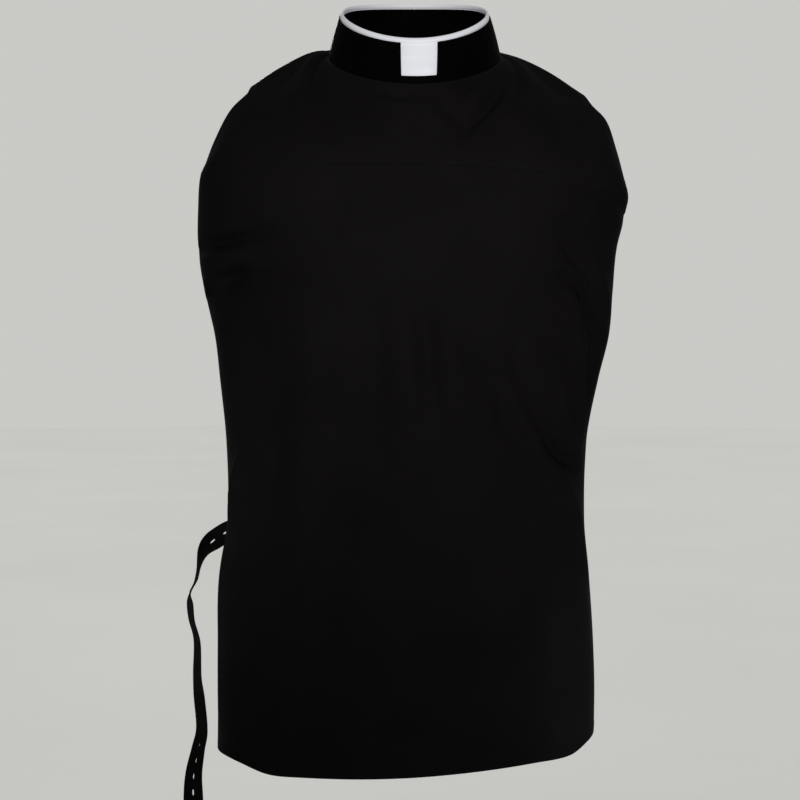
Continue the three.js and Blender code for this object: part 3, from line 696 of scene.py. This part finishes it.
def collar_band(material):
    """Outer ply with its notch, its lap at the back and its seam allowance tucked in."""
    left, right = angle_at_x(NOTCH["left"][0]), angle_at_x(NOTCH["right"][0])
    end = 180 + BACK_LAP_DEG
    angles = np.concatenate([
        np.linspace(-end, left, 110)[:-1],
        np.linspace(left, right, 9),
        np.linspace(right, end, 110)[1:],
    ])
    notch_foot = NOTCH["strip"] / band_height(0)
    rises = np.concatenate([
        np.linspace(1, notch_foot, 13),
        np.linspace(notch_foot, 0, 5)[1:],
        np.linspace(0, BAND_TUCK["rise"], 5)[1:],
    ])
    angle, rise = np.meshgrid(angles, rises)
    tucked = mix(0.1, 1, smooth(angle, LAP_START_DEG, LAP_START_DEG - 2))
    tuck_inset = BAND_TUCK["inset"] * tucked * smooth(rise, 0, BAND_TUCK["rise"] / 3)
    inset = lap_inset(angle) * smooth(rise, BAND_TUCK["rise"] * tucked, 0) + tuck_inset
    rise = np.where(rise < 0, rise * tucked, rise)
    swell = BAND_SWELL * np.sin(math.pi * np.clip(rise, 0, 1))
    grid = collar_points(angle + notch_turn(angle, rise), rise, inset - swell)
    middle = (angles[:-1] + angles[1:]) / 2
    in_notch = (middle > left) & (middle < right)
    above_foot = (rises[:-1] + rises[1:]) / 2 > notch_foot
    is_cloth = ~(above_foot[:, None] & in_notch[None])
    band = cloth_shell("collar_band_cloth", grid, BAND_WALL, grid_uv(grid), material, is_cloth)
    return round_edges(band, EDGE_ROUNDING["band"])


def insert_section():
    """Closed cross-section of the white inner collar as (height above the foot, depth inward)."""
    height = band_height(90)
    outer_inset = BAND_WALL + INSERT["seat"]
    inner_inset = outer_inset + INSERT["wall"]
    rim_middle = outer_inset + INSERT["wall"] / 2 - RIM["overhang"]
    turn = np.linspace(-0.5 * math.pi, 1.5 * math.pi, 25)[2:-2]
    rim = np.stack([
        height + RIM["height"] / 2 * (1 + np.sin(turn)),
        rim_middle - RIM["wall"] / 2 * np.cos(turn),
    ], -1)
    rises = np.linspace(INSERT["foot"], height - INSERT["top_room"], FACE["rows"])
    outer = [(rise, outer_inset) for rise in rises]
    inner = [(rise, inner_inset) for rise in rises[::-1]]
    return np.concatenate([outer, rim, inner]), height


def face_relief(angle, rise, height):
    """Depth of the soft wrinkle and swell on the insert's face, which shows in the notch."""
    in_face = smooth(np.abs(angle - FACE["middle_deg"]), *FACE["fade_deg"])
    from_wrinkle = (rise - FACE_WRINKLE["rise"]) * height / FACE_WRINKLE["half_height"]
    wrinkle = np.exp(-(from_wrinkle**2)) * smooth(angle, *FACE_WRINKLE["fade_deg"])
    above_swell = (rise - FACE_SWELL["rise"]) * height / FACE_SWELL["half_height"]
    beside_swell = (angle - FACE_SWELL["middle_deg"]) / FACE_SWELL["half_deg"]
    swell = np.exp(-(above_swell**2 + beside_swell**2))
    return in_face * (FACE_WRINKLE["depth"] * wrinkle - FACE_SWELL["height"] * swell)


def collar_insert(material):
    section, height = insert_section()
    angles = np.linspace(-INSERT["span_deg"], INSERT["span_deg"], 240)
    angle, index = np.meshgrid(angles, np.arange(len(section)))
    rise, inset = section[index, 0] / height, section[index, 1]
    relief = (index < FACE["rows"]) * face_relief(angle, rise, height)
    points = collar_points(angle, rise, inset + relief)
    corner = np.arange(angle.size).reshape(angle.shape)
    below = np.roll(corner, -1, axis=0)
    around = np.stack([corner[:, :-1], corner[:, 1:], below[:, 1:], below[:, :-1]], -1).reshape(-1, 4)
    faces = np.concatenate([around, end_caps(corner)])
    uv = np.stack([angle * INSERT["mm_per_deg"], section[index, 0]], -1).reshape(-1, 2)
    return mesh_object("collar_insert_cloth", points.reshape(-1, 3), faces, material, uv)


def strip_across(loop):
    """Quads that fill a loop of corners whose first and last halves face each other."""
    half = len(loop) // 2
    return np.array([[loop[k], loop[k + 1], loop[-k - 2], loop[-k - 1]] for k in range(half - 1)])


def end_caps(corner):
    """Quads that close both ends of a swept section."""
    return np.concatenate([strip_across(corner[:, 0]), strip_across(corner[:, -1])[:, ::-1]])


def collar_lining(material):
    inset = BAND_WALL + INSERT["wall"] + 2 * PLY_GAP
    angles = np.linspace(-LINING_SPAN_DEG, LINING_SPAN_DEG, 180)
    angle, rise = np.meshgrid(angles, np.linspace(1, LINING_FOOT, 11))
    grid = collar_points(angle, rise, inset)
    lining = cloth_shell("collar_lining_cloth", grid, LINING_WALL, grid_uv(grid), material)
    return round_edges(lining, EDGE_ROUNDING["lining"])


# ---- front panel


def form_points(across, z):
    """Points of the front form: half a superellipse at each height, by the share of its length."""
    left, right, front, side = (table_value(FORM, column, z)[..., None] for column in range(1, 5))
    knots = np.linspace(0, 1, ARC_STEPS + 1)

    def section(t):
        angle = (t - 0.5) * math.pi
        power = 2 / SECTION_POWER
        outward = np.sign(np.sin(angle)) * np.abs(np.sin(angle)) ** power
        forward = np.maximum(np.cos(angle), 0) ** power
        x = (left + right) / 2 + (right - left) / 2 * outward
        return np.stack([x, side - (side - front) * forward], -1)

    steps = np.linalg.norm(np.diff(section(knots), axis=-2), axis=-1)
    lengths = np.concatenate([np.zeros((*steps.shape[:-1], 1)), np.cumsum(steps, -1)], -1)
    target = across[..., None] * lengths[..., -1:]
    index = np.clip((lengths <= target).sum(-1, keepdims=True) - 1, 0, ARC_STEPS - 1)
    start = np.take_along_axis(lengths, index, -1)
    end = np.take_along_axis(lengths, index + 1, -1)
    t = (index + (target - start) / (end - start)) / ARC_STEPS
    place = section(t)[..., 0, :]
    return np.concatenate([place, z[..., None]], -1)


def form_inward(across, z):
    """Level direction into the form at each place."""
    reach = 0.01
    ahead = form_points(np.minimum(across + reach, 1), z)
    right = ahead - form_points(np.maximum(across - reach, 0), z)
    return unit(np.stack([-right[..., 1], right[..., 0], 0 * z], -1))


def in_panel_plane(creases):
    """Creases with their lines' shares of the width turned into millimetres."""
    return [
        (depth, left, right, [(across * PANEL_WIDTH, z) for across, z in line])
        for depth, left, right, line in creases
    ]


def panel_points(across, z, inset=0.0):
    """Points of the creased front panel at shares of its width and heights."""
    depth = crease_depth(in_panel_plane(PANEL_CREASES), across * PANEL_WIDTH, z)
    inward = form_inward(across, z)
    points = form_points(across, z)
    off_edge = smooth(np.minimum(across, 1 - across) * PANEL_WIDTH, 0, DRIFT["edge"])
    move = depth + off_edge * drift(points, "front_panel") + inset
    return points + inward * move[..., None]


def chest_seam_z(across):
    return table_value(CHEST_SEAM, 1, across)


def hem_z(across):
    from_edge = np.minimum(across, 1 - across) * PANEL_WIDTH
    radius = np.where(across < 0.5, HEM_CORNER["left"], HEM_CORNER["right"])
    in_corner = np.maximum(radius - from_edge, 0)
    lift = radius - np.sqrt(radius**2 - in_corner**2)
    return table_value(HEM, 1, across) + lift


def hem_profile(from_edge):
    """Rise of a turned hem above the single cloth, with a groove along its stitches."""
    step = smooth(from_edge, HEM_FOLD + HEM_STEP["outside"], HEM_FOLD - HEM_STEP["inside"])
    groove = np.exp(-(((from_edge - HEM_FOLD) / STITCH_GROOVE["half_width"]) ** 2))
    return HEM_STEP["rise"] * step - STITCH_GROOVE["depth"] * groove


def panel_columns():
    """Shares of the width: close together at the hems and where the deep folds are."""
    edge = 12 / PANEL_WIDTH
    deep_folds = 0.78
    return np.concatenate([
        np.linspace(0, edge, 13)[:-1],
        np.linspace(edge, deep_folds, 112)[:-1],
        np.linspace(deep_folds, 1 - edge, 56)[:-1],
        np.linspace(1 - edge, 1, 13),
    ])


def front_panel(material):
    """Panel with turned hems on three sides and its seam allowance tucked under the yoke."""
    across = panel_columns()
    seam, hem = chest_seam_z(across), hem_z(across)
    above_hem = 0.975
    down = np.concatenate([np.linspace(0, above_hem, 180)[:-1], np.linspace(above_hem, 1, 15)])
    across_grid, down_grid = np.meshgrid(across, down)
    z = mix(seam, hem, down_grid)
    from_side = np.minimum(across_grid, 1 - across_grid) * PANEL_WIDTH
    rise = np.maximum(hem_profile(from_side), hem_profile(z - hem))
    body = panel_points(across_grid, z, -rise)
    tuck = np.linspace(SEAM_ALLOWANCE, SEAM_ALLOWANCE / 8, 5)
    tuck_across, tuck_up = np.meshgrid(across, tuck)
    allowance = panel_points(tuck_across, seam + tuck_up, smooth(tuck_up, 0, 2))
    grid = np.concatenate([allowance, body])
    return cloth_shell("front_panel_cloth", grid, CLOTH, grid_uv(grid), material)


def panel_stitch_rows():
    """Stitch lines of the front panel, on both sides and along the hem."""
    rows = []
    share = np.linspace(0, 1, 400)
    inset = HEM_FOLD / PANEL_WIDTH
    for across in (inset, 1 - inset):
        column = np.full(share.shape, across)
        z = mix(chest_seam_z(column) - 2, hem_z(column) + HEM_FOLD, share)
        rows.append((column, z))
    across = mix(inset, 1 - inset, share)
    rows.append((across, hem_z(across) + HEM_FOLD))
    return [(panel_points(a, z, STITCH_INSET["hem"]), -form_inward(a, z)) for a, z in rows]


# ---- yokes


def side_top_edge(side):
    """Top edge of the front yoke on one side, from its foot to the neck: shares and points."""
    start = mirrored(neck_edge(SHOULDER_DEG), side)
    seam = SmoothCurve([start, *mirrored(SHOULDER_SEAM[side], side)])
    corner_share = np.array(0.0 if side == "left" else 1.0)
    corner = form_points(corner_share, chest_seam_z(corner_share) + ARMHOLE_FOOT)
    arm_places = mirrored(ARMHOLE[side], side)[::-1]
    armhole = SmoothCurve([corner, *arm_places, seam.at(1.0)])
    arm_share = np.linspace(0, 1, 25)[:-1]
    seam_share = np.linspace(0, 1, 31)[:-1]
    across = np.concatenate([
        arm_share * YOKE_SHARES["shoulder_end"],
        mix(YOKE_SHARES["shoulder_end"], YOKE_SHARES["neck_side"], seam_share),
    ])
    points = np.concatenate([armhole.at_share(arm_share), seam.at_share(1 - seam_share)])
    return across, points


def yoke_top_edge():
    """Whole top edge of the front yoke: shares of its width and points."""
    left_across, left_points = side_top_edge("left")
    right_across, right_points = side_top_edge("right")
    angles = np.linspace(-SHOULDER_DEG, SHOULDER_DEG, 111)
    neck_share = np.linspace(YOKE_SHARES["neck_side"], 1 - YOKE_SHARES["neck_side"], 111)
    across = np.concatenate([left_across, neck_share, 1 - right_across[::-1]])
    points = np.concatenate([left_points, neck_edge(angles), right_points[::-1]])
    return across, points


def yoke_top_heading(across):
    """Direction in which the yoke's cloth reaches its top edge."""
    from_side = np.minimum(across, 1 - across)
    lean = np.radians(table_value(YOKE_TOP, 1, from_side))
    heading = np.radians(table_value(YOKE_TOP, 2, from_side))
    towards_neck = np.where(across < 0.5, np.sin(heading), -np.sin(heading))
    level = np.sin(lean)
    return np.stack([level * towards_neck, level * np.cos(heading), np.cos(lean)], -1)


def yoke_surface(row_count):
    """Grid of the front yoke without its creases, and its columns' shares of the width."""
    foot_lean = math.radians(YOKE_FOOT_LEAN_DEG)
    across, edge = yoke_top_edge()
    foot = form_points(across, chest_seam_z(across) + SEAM_GAP / 2)
    reach = np.hypot(edge[:, 1] - foot[:, 1], edge[:, 2] - foot[:, 2])[:, None]
    top_slope = yoke_top_heading(across) * reach
    foot_slope = np.stack([
        edge[:, 0] - foot[:, 0],
        reach[:, 0] * math.sin(foot_lean),
        reach[:, 0] * math.cos(foot_lean),
    ], -1)
    from_neck = np.minimum(across, 1 - across) - YOKE_SHARES["neck_side"]
    top = edge - SHOULDER_SEAM_ROOM * smooth(from_neck, 0.01, 0)[:, None]
    t = 1 - np.linspace(0, 1, row_count)[:, None, None]
    return hermite(foot, top, foot_slope, top_slope, t), across


def shoulder_allowance(surface, inward, from_side):
    """Rows of cloth that go on past the shoulder seams, under the back yokes."""
    beyond = unit(surface[0] - surface[1])
    narrowing = smooth(YOKE_SHARES["neck_side"] - from_side, 0, SHOULDER_TUCK["narrowing"])
    width = SHOULDER_TUCK["width"] * mix(SHOULDER_TUCK["neck_share"], 1, narrowing)
    tuck = np.linspace(1, 0.12, 5)[:, None] * width
    sunk = SHOULDER_TUCK["depth"] * smooth(tuck, 0, 2)
    return surface[0] + beyond * tuck[..., None] + inward[0] * sunk[..., None]


def front_yoke(material):
    """The yoke's piece, with its shoulder allowances, and its grid without them."""
    surface, across = yoke_surface(64)
    depth = crease_depth(YOKE_CREASES, surface[..., 0], surface[..., 2])
    down = np.linspace(0, 1, len(surface))[:, None]
    inner_share = smooth(down, 0, 0.12) * smooth(down, 1, 0.9)
    move = inner_share * (depth + drift(surface, "front_yoke"))
    inward = inward_normals(surface)
    grid = surface + inward * move[..., None]
    from_side = np.minimum(across, 1 - across)
    allowance = shoulder_allowance(surface, inward, from_side)
    whole = np.concatenate([allowance, grid])
    middle = (from_side[:-1] + from_side[1:]) / 2
    shoulder_end = YOKE_SHARES["shoulder_end"] + SHOULDER_TUCK["margin"]
    on_shoulder = (middle > shoulder_end) & (middle < YOKE_SHARES["neck_side"])
    is_cloth = (np.arange(len(whole) - 1) >= len(allowance))[:, None] | on_shoulder[None]
    piece = cloth_shell("front_yoke_cloth", whole, CLOTH, grid_uv(whole), material, is_cloth)
    return piece, grid


def back_yoke(side, material):
    """One half of the back yoke, its piece and its grid. Its lines run out from the neck."""
    rays = [SHOULDER_SEAM[side], SHOULDER_RIDGE[side], *BACK_RAYS]
    rings = [SmoothCurve([mirrored(ray[place], side) for ray in rays]) for place in range(3)]
    shares = np.linspace(0, 1, 72)
    starts = mirrored(neck_edge(mix(SHOULDER_DEG, 180, shares)), side)
    opening = -BACK_OPENING_HALF if side == "left" else BACK_OPENING_HALF
    starts[np.abs(starts[:, 0]) < BACK_OPENING_HALF, 0] = opening
    places = [ring.at(shares) for ring in rings]
    out = np.linspace(0, 1, 36)
    columns = [SmoothCurve(points, 60).at_share(out) for points in zip(starts, *places)]
    if side == "left":
        columns.reverse()
    surface = np.stack(columns, 1)
    depth = crease_depth(BACK_CREASES, np.abs(surface[..., 0]), surface[..., 1])
    inner_share = smooth(out, 0, 0.15) * smooth(out, 1, 0.85)
    move = inner_share[:, None] * (depth + drift(surface, "back_yoke"))
    grid = surface + inward_normals(surface) * move[..., None]
    name = "back_yoke_" + side + "_cloth"
    return cloth_shell(name, grid, CLOTH, grid_uv(grid), material), grid


def from_edge_inward(grid, edge):
    """The grid turned so that its rows start at one edge: top, bottom, left or right."""
    turned = np.swapaxes(grid, 0, 1) if edge in ("left", "right") else grid
    return turned[::-1] if edge in ("bottom", "right") else turned


def edge_stitch_row(grid, edge, distance):
    """Stitch line a distance in from one edge of a cloth grid."""
    turned = from_edge_inward(grid, edge)
    normals = from_edge_inward(-inward_normals(grid), edge)
    line, facing = [], []
    for column in range(turned.shape[1]):
        lengths = lengths_along(turned[:, column])
        line.append(places_along(lengths, turned[:, column], distance))
        facing.append(places_along(lengths, normals[:, column], distance))
    return np.array(line), np.array(facing)


# ---- waist strap and buttons


def strap_seam_row(from_edge):
    """Row of the strap's run where it is sewn inside the left edge of the panel."""
    across = np.array(from_edge / PANEL_WIDTH)
    z = STRAP["seam_z"]
    half = STRAP["width"] / 2
    point = panel_points(across, np.array(z), CAD_CLOTH + STRAP["seat"])
    ends = panel_points(np.array([across, across]), np.array([z + half, z - half]))
    upward = unit(ends[0] - ends[1])
    return (*point, math.degrees(math.acos(upward[0])), 0)


def strap_frame():
    """Middle and width direction of the strap at close, even stations, and the stations."""
    sewn = [strap_seam_row(place) for place in (STRAP["sewn"], STRAP["sewn"] / 2, STRAP["from_edge"])]
    rows = np.array([*sewn, *STRAP_RUN], float)
    run = SmoothCurve(rows[:, :3], 1600)
    stations = np.linspace(0, run.length, STRAP["stations"])
    t = run.t_at(stations / run.length)
    middle = run.at(t)
    along = unit(np.gradient(middle, axis=0))
    numbered = np.column_stack([np.arange(len(rows)), rows[:, 3:]])
    row = t * (len(rows) - 1)
    tilt, turn = (np.radians(table_value(numbered, column, row)) for column in (1, 2))
    level = np.cos(tilt)
    width = np.stack([level * np.cos(turn), level * np.sin(turn), np.sin(tilt)], -1)
    width = unit(width - along * (width * along).sum(-1, keepdims=True))
    return middle, width, stations


def waist_strap(material):
    """Ribbed elastic whose slits open between its two middle columns."""
    middle, width, stations = strap_frame()
    half = STRAP["width"] / 2
    hair = 0.0001
    columns = np.concatenate([np.linspace(half, hair, 17), np.linspace(-hair, -half, 17)])
    in_pitch = (stations - SLIT["first"]) % SLIT["pitch"]
    last_slit = stations[-1] - SLIT["length"] - SLIT["end_room"]
    in_slit = (in_pitch < SLIT["length"]) & (stations > SLIT["first"]) & (stations < last_slit)
    lens = np.sin(math.pi * np.clip(in_pitch / SLIT["length"], 0, 1)) ** 0.5 * in_slit
    gap = SLIT["width"] / 2 * lens[:, None] * (1 - np.abs(columns) / half) ** 3
    offsets = columns + np.sign(columns) * gap
    ribs = STRAP_RIBS["height"] * np.cos(2 * math.pi * STRAP_RIBS["count"] * columns / STRAP["width"])
    knit = STRAP_KNIT["height"] * np.sin(2 * math.pi * stations / STRAP_KNIT["pitch"])[:, None]
    grid = middle[:, None] + width[:, None] * offsets[..., None]
    grid = grid - inward_normals(grid) * (ribs + knit)[..., None]
    is_cloth = np.ones((len(stations) - 1, len(columns) - 1), bool)
    is_cloth[in_slit[:-1] & in_slit[1:], len(columns) // 2 - 1] = False
    uv = grid_uv(grid)
    return cloth_shell("waist_strap_elastic", grid, STRAP["thickness"], uv, material, is_cloth)


def strap_stitch_rows():
    """Box of stitches that holds the strap's sewn end to the panel, on the panel's outer face."""
    high = STRAP["seam_z"] + STRAP_BOX["half_height"]
    low = STRAP["seam_z"] - STRAP_BOX["half_height"]
    near, far = STRAP_BOX["near"], STRAP_BOX["far"]
    corners = [(near, high), (far, high), (far, low), (near, low), (near, high)]
    share = np.linspace(0, 1, 40)
    rows = []
    for start, end in zip(corners, corners[1:]):
        across = mix(start[0], end[0], share) / PANEL_WIDTH
        z = mix(start[1], end[1], share)
        rows.append((panel_points(across, z, STITCH_INSET["strap"]), -form_inward(across, z)))
    return rows


def thread_cross(node, facing, material):
    """Crossed double thread over a button's four holes."""
    low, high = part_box(node)
    centre = np.array((low + high) / 2) / MM
    facing = unit(np.array(facing, float))
    side = unit(np.cross(facing, (0, 0, 1)))
    upward = np.cross(side, facing)
    lift = facing * (BUTTON["thickness"] / 2 + THREAD["clearance"])
    lines = []
    for up in (1, -1):
        reach = BUTTON["hole_spacing"] / 2 * (side + upward * up)
        beside = THREAD["beside"] * unit(side * up - upward)
        for offset in (-beside, beside):
            lines.append([centre + offset + lift * height + reach * share for share, height in THREAD_ARC])
    return thread_bundle(node + "_thread", lines, material)


def thread_bundle(name, lines, material):
    """One mesh of round threads that follow lines and taper to their ends."""
    points, faces, count = [], [], 0
    sides = THREAD["sides"]
    angle = 2 * math.pi * np.arange(sides)[:, None] / sides
    off_thread = (0.31, 0.17, 0.71)
    for line in lines:
        path = SmoothCurve(line).at_share(np.linspace(0, 1, 4 * len(line)))
        along = unit(np.gradient(path, axis=0))
        across = unit(np.cross(along, along[len(along) // 2] + off_thread))
        third = np.cross(along, across)
        radius = np.full(len(path), THREAD["radius"])
        radius[[0, -1]] *= THREAD["taper"]
        ring = across[:, None] * np.cos(angle) + third[:, None] * np.sin(angle)
        points.append((path[:, None] + ring * radius[:, None, None]).reshape(-1, 3))
        faces.append(tube_faces(len(path), sides) + count)
        count += len(path) * sides
    return mesh_object(name, np.concatenate(points), np.concatenate(faces), material)


# ---- camera, light and stage


def make_camera():
    data = bpy.data.cameras.new("camera")
    data.sensor_width = SENSOR_MM
    data.lens = CAMERA_FOCAL_PX * SENSOR_MM / FRAME_PX
    camera = bpy.data.objects.new("camera", data)
    camera.location = CAMERA_PLACE
    camera.rotation_euler = (math.radians(90 - CAMERA_TILT_DEG), 0, 0)
    bpy.context.scene.collection.objects.link(camera)
    bpy.context.scene.camera = camera


def make_lamps():
    for name, place, target, side, watts, spread in LAMPS:
        data = bpy.data.lights.new(name, "AREA")
        data.shape = "SQUARE"
        data.size = side
        data.energy = watts
        data.spread = math.radians(spread)
        lamp = bpy.data.objects.new(name, data)
        lamp.location = place
        direction = Vector(target) - Vector(place)
        lamp.rotation_euler = direction.to_track_quat("-Z", "Y").to_euler()
        bpy.context.scene.collection.objects.link(lamp)


def make_world():
    """Evenly pale room."""
    bpy.context.scene.view_settings.view_transform = "Standard"
    world = bpy.data.worlds.new("studio")
    bpy.context.scene.world = world
    nodes = Nodes(world)
    background = nodes.fill(nodes.add("Background"), Color=(0.98, 0.98, 0.95, 1), Strength=ROOM)
    nodes.fill(nodes.add("OutputWorld"), Surface=background.outputs["Background"])


def make_floor():
    """Plain pale floor, well below the strap's end."""
    angle = np.linspace(0, 2 * math.pi, 97)[:-1]
    circle = np.stack([np.cos(angle), np.sin(angle), 0 * angle], -1)
    rings = [circle * radius + (0, 0, FLOOR_Z) for radius in (FLOOR_MIDDLE_RADIUS, FLOOR_RADIUS)]
    corner = np.arange(2 * len(angle)).reshape(2, -1)
    turned = np.roll(corner, -1, axis=1)
    around = np.stack([corner[0], corner[1], turned[1], turned[0]], -1)
    middle = strip_across(corner[0])
    material = bpy.data.materials.new("floor_paint")
    nodes = Nodes(material)
    patches = noise_between(nodes, 0.8, 0, 1)
    shader = nodes.fill(
        nodes.add("BsdfPrincipled"),
        Base_Color=colour_between(nodes, patches, (0.66, 0.66, 0.65), (0.7, 0.7, 0.69)),
        Roughness=0.9,
        Emission_Color=(1, 1, 0.97, 1),
        Emission_Strength=FLOOR_GLOW,
    )
    nodes.fill(nodes.add("OutputMaterial"), Surface=shader.outputs["BSDF"])
    floor = mesh_object("floor", np.concatenate(rings), np.concatenate([around, middle]), material)


# ---- assembly


def make_materials():
    """Materials by the name of the slot or part that they dress."""
    return {
        "black_cloth": woven_material("black_poly_cotton"),
        "black_band": woven_material("black_collar_cloth"),
        "white_cloth": woven_material("white_collar_linen"),
        "black_elastic": woven_material("black_elastic_knit"),
        "black_button": plastic_material("black_polyester"),
        "black_thread": woven_material("black_thread"),
    }


def dress(piece, slot, *nodes):
    """A piece rides on the garment and stands for CAD nodes, which it hides. Its slot is not used."""
    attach(piece, "root")
    if nodes:
        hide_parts(*nodes)
    return piece


def make_stitches(materials, yoke_grid, back_grids):
    """Rows of stitches on the panel with the strap's seam, and on the three yokes."""
    thread = materials["black_thread"]
    hem_rows = panel_stitch_rows() + strap_stitch_rows()
    hem_stitches = dress(stitches("hem_stitches", hem_rows, thread), "black_cloth")
    yoke_rows = [edge_stitch_row(yoke_grid, edge, YOKE_STITCH_LINE) for edge in ("bottom", "top")]
    for grid in back_grids:
        yoke_rows += [edge_stitch_row(grid, edge, BACK_STITCH_LINE) for edge in ("bottom", "left", "right")]
    yoke_stitches = dress(stitches("yoke_stitches", yoke_rows, thread), "black_cloth")
    return hem_stitches, yoke_stitches


def dress_button(frame, node, facing, materials):
    """The CAD's button takes its finish and gets its thread."""
    button = frame["nodes"][node]
    button.data.materials.clear()
    button.data.materials.append(materials["black_button"])
    dress(thread_cross(node, facing, materials["black_thread"]), "black_button")


def make_garment(frame, materials):
    cloth, band_cloth = materials["black_cloth"], materials["black_band"]
    panel = dress(front_panel(cloth), "black_cloth", "front_panel")
    yoke, yoke_grid = front_yoke(cloth)
    dress(yoke, "black_cloth", "front_yoke")
    backs, back_grids = [], []
    for side in ("left", "right"):
        back, grid = back_yoke(side, cloth)
        backs.append(dress(back, "black_cloth", "back_yoke_" + side))
        back_grids.append(grid)
    band = dress(collar_band(band_cloth), "black_band", "collar_band")
    insert = dress(collar_insert(materials["white_cloth"]), "white_cloth", "collar_insert")
    lining = dress(collar_lining(band_cloth), "black_band", "collar_lining")
    strap = dress(waist_strap(materials["black_elastic"]), "black_elastic", "waist_strap")
    hem_stitches, yoke_stitches = make_stitches(materials, yoke_grid, back_grids)
    waist_facing = form_inward(np.array(WAIST_BUTTON_SHARE), np.array(STRAP["seam_z"]))
    dress_button(frame, "waist_button", waist_facing, materials)
    dress_button(frame, "collar_button", COLLAR_BUTTON_FACING, materials)


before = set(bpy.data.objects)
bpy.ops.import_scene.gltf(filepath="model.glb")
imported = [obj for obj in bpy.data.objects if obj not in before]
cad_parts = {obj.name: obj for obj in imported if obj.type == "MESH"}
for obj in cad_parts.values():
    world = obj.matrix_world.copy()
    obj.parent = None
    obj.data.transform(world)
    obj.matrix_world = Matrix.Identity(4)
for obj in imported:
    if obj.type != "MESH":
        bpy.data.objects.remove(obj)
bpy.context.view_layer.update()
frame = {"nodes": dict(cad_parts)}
make_camera()
make_world()
make_lamps()
make_floor()
make_garment(frame, make_materials())
